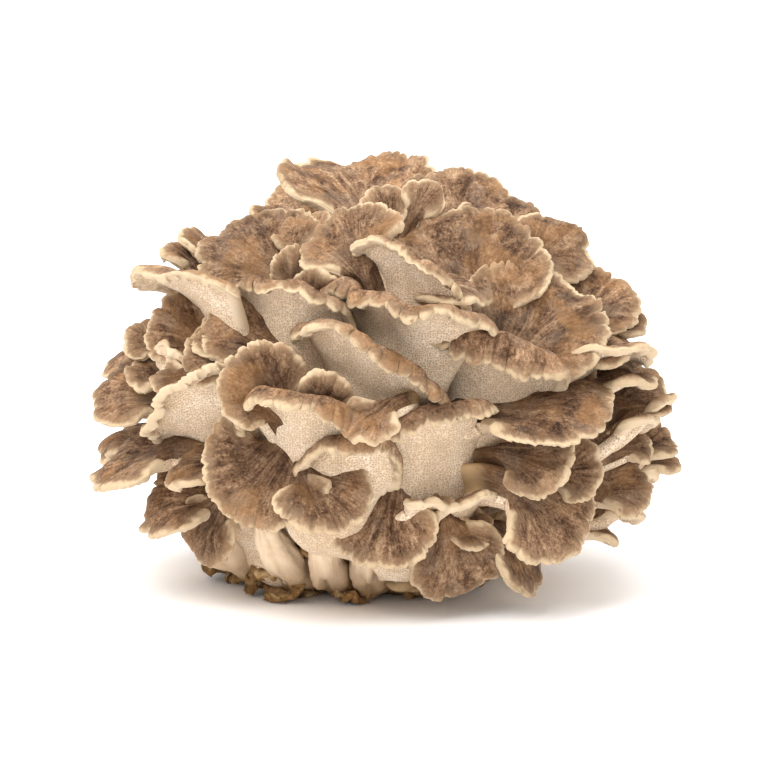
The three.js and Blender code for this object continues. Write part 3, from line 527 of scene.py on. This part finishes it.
def cap_surface(cap, step):
    """Points, faces, the finish of each face, and the measures kept at each point, for one cap."""
    sheet = cap_sheet(cap, step)
    share, along, seed = sheet["share"], sheet["along"], cap["seed"]
    thickness, opened = flesh(cap, sheet)
    fan_mm = sheet["angle"] * FAN_RADIUS
    fibre = (0.16 * hills(fan_mm / 1.4, along / 6, seed + 4)
             + 0.12 * hills(fan_mm / 0.8, along / 2.5, seed + 5)) * smooth(0.1, 0.4, share) * opened
    crease = smooth(0.72, 1.0, sheet["notch"]) * smooth(0.35, 0.95, share) \
        * (0.15 + 0.85 * (1 - smooth(*ROLLED_LIP, cap["lip"])))
    normal = sheet["normal"]
    middle = sheet["points"] + normal * folds(cap, sheet)[..., None]
    above = middle + normal * (TOP_SHARE * thickness + fibre - CREASE_DEPTH * crease * opened)[..., None] \
        + sheet["filling"]
    below = middle - normal * ((1 - TOP_SHARE) * thickness)[..., None]
    points = np.concatenate([above.reshape(-1, 3), below.reshape(-1, 3)])
    points[:, 2] = np.maximum(points[:, 2], FLOOR_GAP)
    faces, finish = cap_faces(*share.shape)
    if sheet["turned"]:
        faces = faces[:, ::-1]
    twice = lambda values: np.tile(values.ravel(), 2)
    tone = dice(seed, 11)
    pale_edge = np.minimum(sheet["to_front"], sheet["to_side"] + 30 * (1 - smooth(0.02, 0.32, share)))
    measures = dict(rim_mm=twice(pale_edge), out_mm=twice(along), fan_mm=twice(fan_mm) + TONE_SHIFT * tone,
                    crease=twice(crease), tone=np.full(len(points), tone))
    return points, faces, finish, measures


# %% [markdown]
# ## Colours
# A colour given as a hex value is an sRGB value, but the renderer works in linear light. One function turns
# the hex value into linear numbers, so every colour below can be read in any colour picker.

# %% Hex colours to linear, and one function for nodes
def linear(code):
    """sRGB hex to linear red, green, blue and alpha."""
    parts = [int(code[place:place + 2], 16) / 255 for place in (1, 3, 5)]
    return (*[v / 12.92 if v <= 0.04045 else ((v + 0.055) / 1.055) ** 2.4 for v in parts], 1.0)


def node(tree, kind, sockets=None, out=0, stops=(), **settings):
    """Adds a node, sets it up, links or fills its sockets, and gives back one of its outputs."""
    made = tree.nodes.new("ShaderNode" + kind)
    for key, value in settings.items():
        setattr(made, key, value)
    for key, value in (sockets or {}).items():
        if isinstance(value, bpy.types.NodeSocket):
            tree.links.new(value, made.inputs[key])
        else:
            made.inputs[key].default_value = value
    for number, (place, code) in enumerate(stops):
        stop = made.color_ramp.elements[number] if number < 2 else made.color_ramp.elements.new(place)
        stop.position, stop.color = place, linear(code)
    return made.outputs[out] if made.outputs else None


def new_material(name):
    """An empty material and its node tree."""
    material = bpy.data.materials.new(name)
    material.use_nodes = True
    material.node_tree.nodes.clear()
    return material, material.node_tree


# %% [markdown]
# ## Painting in thin coats
# A natural surface is painted as a painter would do it: one ground colour, and then thin coats, each laid
# where some measure or pattern lies between two values. A coat fades softly from one strength to another
# over that range. One function lays a whole row of coats, and another adds up patterns by weight, so that
# every finish below reads as a short list.

# %% Coats of colour and sums of patterns
def painted(tree, colour, coats):
    """Lays coats over a colour. A coat is a value, its range, its strength at both ends, and its hex."""
    for value, low, high, at_low, at_high, code in coats:
        strength = node(tree, "MapRange", {0: value, 1: low, 2: high, 3: at_low, 4: at_high},
                        interpolation_type="SMOOTHSTEP")
        colour = node(tree, "Mix", {0: strength, 6: colour, 7: linear(code)}, data_type="RGBA", out=2)
    return colour


def summed(tree, start, patterns):
    """Adds patterns to a start value, each times its weight."""
    for pattern, weight in patterns:
        start = node(tree, "Math", {0: pattern, 1: weight, 2: start}, operation="MULTIPLY_ADD")
    return start


def per_metre(size_mm):
    """The scale of a pattern, in features to the metre, from the size of one feature in millimetres."""
    return 1 / (size_mm * MM)


# %% [markdown]
# ## Dry, fibrous upper skin
# The skin of a maitake is a felt of fine fibres that run from the throat to the rim. It dries as it grows,
# so there is hardly any gloss. Grey-brown and umber streaks lie side by side, with tan patches where the
# felt has worn. Towards the rim the skin pales, and the very rim is cream, wider in some places than in
# others. Noise stretched along the cap gives the streaks: its place across comes from the angle, so the
# streaks spread like a fan, one to six millimetres wide and three to five times as long. The felt's fibres
# are 0.1 mm thick, too fine to show, so they are drawn about a millimetre wide. To the eye all this gives a
# soft, woolly, mottled brown.

# %% Material: upper skin
skin, tree = new_material("dry_fibrous_cap_skin")
place = node(tree, "TexCoord", out="Object")
rim_mm, out_mm, fan_mm, crease, tone = (node(tree, "Attribute", attribute_name=name, out="Fac")
                                        for name in ("rim_mm", "out_mm", "fan_mm", "crease", "tone"))
on_fan = node(tree, "CombineXYZ", {0: fan_mm, 1: out_mm, 2: tone})
broad, fine = (
    node(tree, "TexNoise", {
        "Vector": node(tree, "VectorMath", {0: on_fan, 1: (1.0, squeeze, 41.0)}, operation="MULTIPLY"),
        "Scale": 1 / width_mm, "Detail": detail, "Roughness": rough, "Distortion": warp})
    for width_mm, squeeze, detail, rough, warp in (
        (5.88, 0.30, 5.0, 0.66, 0.7),  # broad streaks
        (1.18, 0.22, 4.0, 0.70, 0.5)))  # fine streaks
felt, cloudy, blotch, greyed, specks = (
    node(tree, "TexNoise", {"Vector": place, "Scale": per_metre(size_mm), "Detail": detail,
                            "Roughness": rough, "Distortion": warp})
    for size_mm, detail, rough, warp in (
        (1.1765, 4.0, 0.75, 0.6),  # bundles of felted fibres, drawn coarser than they are
        (6.67, 4.0, 0.65, 0.5),  # clouding of the brown
        (18.2, 3.0, 0.55, 0.6),  # worn, golden patches
        (11.8, 3.0, 0.60, 0.3),  # thick, grey patches
        (2.38, 2.0, 0.50, 0.0)))  # specks
streaks = summed(tree, -0.21, [(broad, 0.42), (fine, 0.24), (cloudy, 0.34), (felt, 0.42)])
uneven_rim = summed(tree, -5.5, [(rim_mm, 1.0), (blotch, 6.0), (cloudy, 5.0)])
ground = node(tree, "ValToRGB", {"Fac": streaks}, stops=[
    (0.36, "#2a1b12"), (0.43, "#4b3424"), (0.50, "#70543e"), (0.57, "#927459"), (0.65, "#b19577")])
colour = painted(tree, ground, [
    (blotch, 0.48, 0.66, 0.0, 0.35, "#a5794d"),  # golden, where the felt has worn
    (greyed, 0.50, 0.68, 0.0, 0.35, "#776758"),  # grey, where it is thick
    (out_mm, -4.0, 24.0, 0.5, 0.0, "#332115"),  # painted shade, darker down in the throat
    (out_mm, -16.0, -5.0, 1.0, 0.0, "#b99b74")])  # the stalk has no brown skin
shade = node(tree, "MapRange", {0: tone, 1: 0.0, 2: 1.0, 3: 0.80, 4: 1.12})
colour = node(tree, "HueSaturation", {"Value": shade, "Color": colour})
colour = painted(tree, colour, [
    (crease, 0.0, 1.0, 0.0, 0.45, "#5a3d29"),  # painted shade in the creases
    (uneven_rim, 1.0, 6.5, 0.6, 0.0, "#94795d"),  # the skin pales towards the rim
    (uneven_rim, 0.2, 2.6, 0.9, 0.0, "#c2ab8b"),  # and the very rim is cream
    (specks, 0.69, 0.75, 0.0, 0.55, "#6b452a")])  # a few dark specks
relief = summed(tree, 0.0, [(fine, 0.6), (felt, 0.5)])
bump = node(tree, "Bump", {"Height": relief, "Distance": 0.6 * MM, "Strength": 0.75})
shader = node(tree, "BsdfPrincipled", {
    "Base Color": colour, "Roughness": 0.78, "IOR": 1.4, "Specular IOR Level": 0.2, "Normal": bump,
    "Subsurface Weight": 0.06, "Subsurface Radius": (1.0, 0.5, 0.25), "Subsurface Scale": 2 * MM})
node(tree, "OutputMaterial", {"Surface": shader})
print("made", skin.name)

# %% [markdown]
# ## Cream flesh, with pores and without
# Underneath, a maitake has no gills but a layer of fine tubes, and their mouths show as pores about a
# millimetre apart, running down onto the stalk. The last few millimetres at the rim are smooth. The stalks
# are the same moist cream flesh without pores, and brown near the ground. Cells cut by the surface from a
# three-dimensional Voronoi pattern give pores of uneven size with no seams. They are sunk by bump, because
# they are too fine for the mesh. To the eye it is matt and soft, and a little light goes into it.

# %% Materials: pore layer and stem flesh
def cream_flesh(name, pored):
    """Cream flesh, with or without pores."""
    material, tree = new_material(name)
    place = node(tree, "TexCoord", out="Object")
    rim_mm = node(tree, "Attribute", attribute_name="rim_mm", out="Fac")
    cloud, grain, specks = (
        node(tree, "TexNoise", {"Vector": place, "Scale": per_metre(size_mm), "Detail": detail,
                                "Roughness": rough, "Distortion": warp})
        for size_mm, detail, rough, warp in (
            (16.7, 3.0, 0.55, 0.4),  # paler and darker flesh
            (1.11, 3.0, 0.60, 0.0),  # the grain of the flesh, drawn coarser than it is
            (3.33, 2.0, 0.50, 0.0)))  # specks
    colour = node(tree, "ValToRGB", {"Fac": cloud}, stops=[
        (0.30, "#ceb69a"), (0.50, "#e1caae"), (0.70, "#ecdac3")])
    height = grain
    if pored:
        drift = node(tree, "TexNoise", {"Vector": place, "Scale": per_metre(2.0), "Detail": 1.0}, out="Color")
        warped = node(tree, "VectorMath", {0: drift, 1: (0.7 * MM, 0.7 * MM, 0.7 * MM), 2: place},
                      operation="MULTIPLY_ADD")
        wall = node(tree, "TexVoronoi", {"Vector": warped, "Scale": per_metre(1.0526), "Randomness": 0.8},
                    feature="DISTANCE_TO_EDGE")
        mouth = node(tree, "MapRange", {0: wall, 1: 0.06, 2: 0.20, 3: 0.0, 4: 1.0},
                     interpolation_type="SMOOTHSTEP")
        inside = summed(tree, 0.0, [(rim_mm, 1.0), (cloud, 3.0)])
        margin = node(tree, "MapRange", {0: inside, 1: 3.2, 2: 6.5}, interpolation_type="SMOOTHSTEP")
        mouth = node(tree, "Math", {0: mouth, 1: margin}, operation="MULTIPLY")
        colour = painted(tree, colour, [(mouth, 0.0, 1.0, 0.0, 0.58, "#9a7b5c")])
        height = summed(tree, 0.0, [(grain, 0.25), (mouth, -1.0)])
    colour = painted(tree, colour, [
        (rim_mm, 1.2, 5.0, 0.5, 0.0, "#ac967a"),  # drier towards the rim
        (rim_mm, 0.4, 2.2, 0.7, 0.0, "#c0ab8d"),
        (specks, 0.70, 0.76, 0.0, 0.4, "#8a6a44")])
    if not pored:
        metres_up = node(tree, "SeparateXYZ", {0: place}, out="Z")
        soil = summed(tree, 0.0, [(metres_up, 1.0), (cloud, -30 * MM)])
        colour = painted(tree, colour, [(soil, -13 * MM, 10 * MM, 0.85, 0.0, "#8a673c")])
    bump = node(tree, "Bump", {"Height": height, "Distance": 0.7 * MM, "Strength": 0.6})
    shader = node(tree, "BsdfPrincipled", {
        "Base Color": colour, "Roughness": 0.72, "IOR": 1.4, "Specular IOR Level": 0.3, "Normal": bump,
        "Subsurface Weight": 0.1, "Subsurface Radius": (1.0, 0.6, 0.35), "Subsurface Scale": 3 * MM})
    node(tree, "OutputMaterial", {"Surface": shader})
    print("made", material.name)
    return material


pores = cream_flesh("cream_pore_layer", True)

# %% [markdown]
# ## Building the caps
# One function turns points and faces into an object and keeps the measures as attributes for the finishes.
# A lobe that belongs to a larger cap goes into the same object, because it grew as one with it.

# %% Objects
def piece_from(name, parts, finishes):
    """One object from the surfaces of a piece, riding on the root body."""
    points = np.concatenate([part[0] for part in parts]) * MM
    starts = np.cumsum([0] + [len(part[0]) for part in parts[:-1]])
    faces = np.concatenate([part[1] + start for part, start in zip(parts, starts)])
    finish = np.concatenate([part[2] for part in parts])
    mesh = bpy.data.meshes.new(name)
    mesh.vertices.add(len(points))
    mesh.vertices.foreach_set("co", points.ravel())
    mesh.loops.add(faces.size)
    mesh.loops.foreach_set("vertex_index", faces.ravel())
    mesh.polygons.add(len(faces))
    mesh.polygons.foreach_set("loop_start", np.arange(0, faces.size, faces.shape[1]))
    for material in finishes:
        mesh.materials.append(material)
    mesh.polygons.foreach_set("material_index", finish.astype(np.int32))
    mesh.polygons.foreach_set("use_smooth", np.ones(len(faces), bool))
    for key in parts[0][3]:
        values = np.concatenate([part[3][key] for part in parts]).astype(np.float32)
        mesh.attributes.new(key, "FLOAT", "POINT").data.foreach_set("value", values)
    mesh.update()
    mesh.validate()
    piece = bpy.data.objects.new(name, mesh)
    bpy.context.scene.collection.objects.link(piece)
    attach(piece, "root")
    return piece


FRONT_STEP, BACK_STEP = 0.85, 1.05  # size of the cells in millimetres
face_total = 0
for cap in [row for row in caps if not row["joins"]]:
    step = BACK_STEP if cap["name"].startswith("back_") else FRONT_STEP
    members = [cap] + [row for row in caps if row["joins"] == cap["name"]]
    piece = piece_from(cap["name"] + "_flesh", [cap_surface(row, step) for row in members], [skin, pores])
    face_total += len(piece.data.polygons)
    if not cap["extra"]:
        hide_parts(cap["name"])
print("caps:", face_total, "faces")

# %% [markdown]
# ## Leaves deep inside
# Between the large caps a real cluster is packed with smaller ones, and the eye meets them in every gap. They
# stand on a smaller dome inside the first, spread by the golden angle so that no two share a place.

# %% Inner leaves
GOLDEN_ANGLE = math.radians(137.508)
INNER_COUNT = 64
DOME_CENTRE = np.array([0.0, 0.0, 74.0])
DOME_RADII = np.array([118.0, 106.0, 98.0])
INNER_STEP = 1.3  # size of the cells in millimetres
FIRST_INNER_SEED = 400


def inner_leaf(number):
    """A small cap on the inner dome."""
    seed = FIRST_INNER_SEED + number
    lift = -0.34 + 1.22 * (number + 0.5) / INNER_COUNT
    flat = math.sqrt(1 - lift ** 2)
    bearing = number * GOLDEN_ANGLE
    way = np.array([flat * math.cos(bearing), flat * math.sin(bearing), lift])
    depth = (0.72 if way[1] < 0 else 0.83 + 0.09 * max(lift, 0)) + 0.06 * dice(seed, 1)
    rim = DOME_CENTRE + DOME_RADII * way * depth
    length = 26 + 12 * dice(seed, 2)
    heading = unit(way + np.array([0.5 * (dice(seed, 3) - 0.5), 0.5 * (dice(seed, 4) - 0.5), 0.25]))
    return dict(USUAL, name=f"inner_leaf_{number + 1}", rim=rim, throat=rim - length * heading, seed=seed,
                wide=15 + 8 * dice(seed, 5), open=56 + 12 * dice(seed, 6), flare=34,
                lobes=5 + int(4 * dice(seed, 7)), lip=16 + 20 * dice(seed, 8), ruffle=12, neck=6, thick=7,
                face=(0.6 * way[0], 0.6 * way[1], 1.0) if dice(seed, 9) > 0.3 else (0, 0, 1))


inner_faces = 0
for number in range(INNER_COUNT):
    leaf = inner_leaf(number)
    piece = piece_from(leaf["name"], [cap_surface(leaf, INNER_STEP)], [skin, pores])
    inner_faces += len(piece.data.polygons)
print("inner leaves:", inner_faces, "faces")

# %% [markdown]
# ## The foot
# Maitake grows from a root, and it is picked with a knife. What is left is a foot where all the branches flow
# into each other: cream, smooth, with long hollows between the branches, and flat below. A stack of rings is
# pushed in and out by ridges and hills, and thick stalks run from it to the lowest caps.

# %% The foot
stem = cream_flesh("cream_stem_flesh", False)
FOOT_RINGS = [(0, 38), (7, 42), (20, 45), (38, 51), (56, 56), (74, 55), (90, 46), (104, 31), (112, 1)]
FOOT_TOP = 112
FOOT_ROWS, FOOT_COLUMNS = 150, 300
FOOT_CENTRE_X = -10
FOOT_DEPTH = 0.9  # the foot is a little flatter front to back than it is wide
RIDGES = 7  # low ridges round the foot, where the branches leave it
RIDGE_SHARE = 0.05
RIDGE_TWIST_HEIGHT = 30  # the ridges turn by one radian over this height
FOOT_INSET = 2.4  # keeps the hills inside the plain solid


def grid_surface(points):
    """The surface of a grid of points whose first index goes round and whose second goes up."""
    columns, rows = points.shape[:2]
    grid = np.arange(columns * rows).reshape(columns, rows)
    faces = grid_quads(np.concatenate([grid, grid[:1]]))
    measures = {key: np.full(columns * rows, value) for key, value in
                dict(rim_mm=30.0, out_mm=-40.0, fan_mm=0.0, crease=0.0, tone=0.5).items()}
    return points.reshape(-1, 3), faces, np.zeros(len(faces), int), measures


def foot_surface():
    """The foot, with a flat underside that closes in the middle."""
    heights = np.concatenate([[0.0, 0.0], np.linspace(0, FOOT_TOP, FOOT_ROWS)])
    rings = np.array(FOOT_RINGS, float)
    radii = np.interp(heights, rings[:, 0], rings[:, 1])
    radii[0] = 0.5
    round_angle = np.linspace(0, 2 * math.pi, FOOT_COLUMNS, endpoint=False)
    angle, height = np.meshgrid(round_angle, heights, indexing="ij")
    low = 1 - smooth(4, 40, height)
    radius = radii * (1 + RIDGE_SHARE * np.sin(RIDGES * angle + height / RIDGE_TWIST_HEIGHT))
    turn = angle * HILL_SQUARES / (2 * math.pi)
    rough = 2.6 * hills(turn * 0.25, height / 16, 5) + 1.2 * hills(turn * 0.5, height / 7, 6) \
        + 0.5 * hills(turn, height / 3, 7) * low
    radius = radius + (rough - FOOT_INSET) * (radii > 1)
    return grid_surface(np.stack(
        [FOOT_CENTRE_X + radius * np.cos(angle), FOOT_DEPTH * radius * np.sin(angle), height], -1))


# %% Thick stalks from the foot
# where a stalk leaves the foot, where it ends under a cap, and its two radii
FOOT_STALKS = [
    ((-44, -22, 9), (-76, -56, 40), 9, 7),
    ((-32, -32, 8), (-48, -72, 40), 8, 7),
    ((-20, -36, 7), (-26, -78, 40), 7, 6),
    ((-6, -36, 9), (-6, -78, 38), 9, 8),
    ((8, -34, 7), (16, -76, 36), 7, 6),
    ((20, -18, 9), (62, -54, 32), 9, 7),
    ((24, 0, 9), (80, -18, 44), 11, 8),
    ((20, 16, 9), (66, 40, 38), 12, 8),
    ((-4, 28, 9), (8, 78, 40), 13, 9),
    ((-30, 26, 9), (-48, 66, 38), 12, 8),
    ((-44, 6, 9), (-88, 14, 44), 11, 8),
]
KNEE = np.array([0.62, 0.62, 0.12])  # a stalk goes this far out and up before it bends upwards
STALK_ROWS, STALK_COLUMNS = 60, 64
FIRST_STALK_SEED, SEEDS_PER_STALK = 700, 3


def stalk_surface(start, end, start_radius, end_radius, seed):
    """A thick branch that leaves the foot flat and turns upwards."""
    start, end = np.array(start, float), np.array(end, float)
    knee = start + KNEE * (end - start)
    t = np.linspace(0, 1, STALK_ROWS)[:, None]
    path = (1 - t) ** 2 * start + 2 * t * (1 - t) * knee + t ** 2 * end
    heading = 2 * (1 - t) * (knee - start) + 2 * t * (end - knee)
    heading /= np.linalg.norm(heading, axis=1)[:, None]
    sideways = np.cross(heading, [0, 0, 1.0])
    sideways /= np.linalg.norm(sideways, axis=1)[:, None]
    upwards = np.cross(sideways, heading)
    angle = np.linspace(0, 2 * math.pi, STALK_COLUMNS, endpoint=False)
    angle_grid, t_grid = np.meshgrid(angle, t[:, 0], indexing="ij")
    radius = start_radius + (end_radius - start_radius) * smooth(0, 0.8, t_grid)
    radius = radius + 2.2 * hills(np.cos(angle_grid) * 2.2 + 8, t_grid * 5, seed) \
        + 0.6 * hills(np.cos(angle_grid) * 5 + np.sin(angle_grid) * 3 + 16, t_grid * 12, seed + 1)
    radius = radius * np.sqrt(1 - t_grid ** 8)
    points = path[None] + (radius * np.cos(angle_grid))[..., None] * sideways \
        + (radius * np.sin(angle_grid))[..., None] * upwards
    points[..., 2] = np.maximum(points[..., 2], FLOOR_GAP)
    return grid_surface(points)


foot_parts = [foot_surface()]
for number, (start, end, start_radius, end_radius) in enumerate(FOOT_STALKS):
    seed = FIRST_STALK_SEED + SEEDS_PER_STALK * number
    foot_parts.append(stalk_surface(start, end, start_radius, end_radius, seed))
foot = piece_from("branching_base_flesh", foot_parts, [stem])
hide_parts("branching_base")
print("foot:", len(foot.data.polygons), "faces")

# %% [markdown]
# ## Scraps round the cut
# Round the cut sit small caps that never grew, squashed and dried to golden brown. They are the same sheets
# as the caps, only one or two centimetres long and badly crumpled, so the same function makes them with a
# drier finish. Its mottle is about 5 mm from spot to spot. To the eye they are leathery, darker at their
# rims.

# %% Material: dried scraps
scrap, tree = new_material("golden_dried_scrap")
place = node(tree, "TexCoord", out="Object")
rim_mm = node(tree, "Attribute", attribute_name="rim_mm", out="Fac")
mottle = node(tree, "TexNoise", {"Vector": place, "Scale": per_metre(4.55), "Detail": 4.0, "Roughness": 0.65,
                                 "Distortion": 0.8})
ground = node(tree, "ValToRGB", {"Fac": mottle}, stops=[
    (0.34, "#3d2a17"), (0.45, "#6f5233"), (0.54, "#95774f"), (0.66, "#bfa57d")])
colour = painted(tree, ground, [(rim_mm, 0.3, 2.4, 0.55, 0.0, "#8a6334")])
bump = node(tree, "Bump", {"Height": mottle, "Distance": 0.8 * MM, "Strength": 0.8})
shader = node(tree, "BsdfPrincipled", {
    "Base Color": colour, "Roughness": 0.7, "IOR": 1.4, "Specular IOR Level": 0.35, "Normal": bump})
node(tree, "OutputMaterial", {"Surface": shader})
print("made", scrap.name)

# %% Pieces: dried scraps
SCRAP_COUNT = 90
FIRST_SCRAP_SEED = 800
SCRAP_STEP = 1.0  # size of the cells in millimetres
LOWEST_RIM = 2.5
scrap_parts = []
for number in range(SCRAP_COUNT):
    seed = FIRST_SCRAP_SEED + number
    bearing = 2 * math.pi * (number + 0.7 * dice(seed, 1)) / SCRAP_COUNT
    height = 2 + 24 * dice(seed, 2) ** 1.6
    way = np.array([math.cos(bearing), math.sin(bearing) * FOOT_DEPTH, 0])
    throat = np.array([FOOT_CENTRE_X, 0, height]) + way * (40 + 17 * dice(seed, 3))
    length = 6 + 15 * dice(seed, 4) ** 1.3
    tilt = np.array([0.5 * (dice(seed, 5) - 0.5), 0.5 * (dice(seed, 6) - 0.5), 0.7 * (dice(seed, 7) - 0.35)])
    rim = throat + length * unit(way + tilt)
    rim[2] = max(rim[2], LOWEST_RIM)
    row = dict(USUAL, name="scrap", rim=rim, throat=throat, seed=seed, wide=4 + 8 * dice(seed, 8), fan=66,
               open=50 + 20 * dice(seed, 9), lip=90 * dice(seed, 10), ruffle=30, waves=5, lobes=4,
               scallop=0.16, neck=3, thick=3.6,
               face=(0.8 * (dice(seed, 12) - 0.5), -0.5 * math.sin(bearing), 1))
    scrap_parts.append(cap_surface(row, SCRAP_STEP))
scraps = piece_from("dried_scraps", scrap_parts, [scrap, scrap])
print("scraps:", len(scraps.data.polygons), "faces")

# %% [markdown]
# ## Floor and light
# A white board and a bright, even room leave only soft shadows. A large lamp high on the left stands for a
# window, and a weaker one above fills the top. The colours are shown as they are, with no film curve, so the
# board comes out white.

# %% Stage
FLOOR_HALF = 6.0
bpy.context.scene.view_settings.view_transform = "Standard"
floor_mesh = bpy.data.meshes.new("floor")
floor_corners = [(x * FLOOR_HALF, y * FLOOR_HALF, 0) for x, y in ((-1, -1), (1, -1), (1, 1), (-1, 1))]
floor_mesh.from_pydata(floor_corners, [], [(0, 1, 2, 3)])
floor = bpy.data.objects.new("floor", floor_mesh)
bpy.context.scene.collection.objects.link(floor)
board, tree = new_material("matt_white_board")
paint = node(tree, "BsdfPrincipled", {"Base Color": linear("#fdfcfb"), "Roughness": 0.9})
node(tree, "OutputMaterial", {"Surface": paint})
floor_mesh.materials.append(board)

world = bpy.data.worlds.new("soft_room")
bpy.context.scene.world = world
world.use_nodes = True
world.node_tree.nodes["Background"].inputs["Color"].default_value = linear("#ffffff")
world.node_tree.nodes["Background"].inputs["Strength"].default_value = 1.3
LIT_POINT = Vector((0, 0, 0.08))


def soft_light(name, size, power, place):
    """A square lamp that looks at the middle of the cluster."""
    lamp = bpy.data.lights.new(name, "AREA")
    lamp.size, lamp.energy = size, power
    light = bpy.data.objects.new(name, lamp)
    light.location = place
    light.rotation_euler = (LIT_POINT - Vector(place)).to_track_quat("-Z", "Y").to_euler()
    bpy.context.scene.collection.objects.link(light)


soft_light("window_light", 1.1, 23, (-0.55, -0.85, 1.35))
soft_light("top_light", 0.9, 10, (0.1, 0.0, 1.4))
print("lamps:", [lamp.name for lamp in bpy.data.lights])

# %% [markdown]
# ## The camera
# The cluster is seen as one sees it on a table, from a little above and far enough away that near caps don't
# swell. The focal length follows from the width that should fill the view.

# %% Camera
ELEVATION = math.radians(10)
DISTANCE = 1.6
TARGET_HEIGHT = 0.081
VIEW_WIDTH = 0.3178  # metres across the view, at the cluster
camera_data = bpy.data.cameras.new("camera")
camera_data.sensor_width = 36
camera_data.lens = camera_data.sensor_width * DISTANCE / VIEW_WIDTH
camera = bpy.data.objects.new("camera", camera_data)
camera.location = (0, -DISTANCE * math.cos(ELEVATION), TARGET_HEIGHT + DISTANCE * math.sin(ELEVATION))
camera.rotation_euler = (math.pi / 2 - ELEVATION, 0, 0)
bpy.context.scene.collection.objects.link(camera)
bpy.context.scene.camera = camera
print("camera: lens", round(camera_data.lens), "mm")
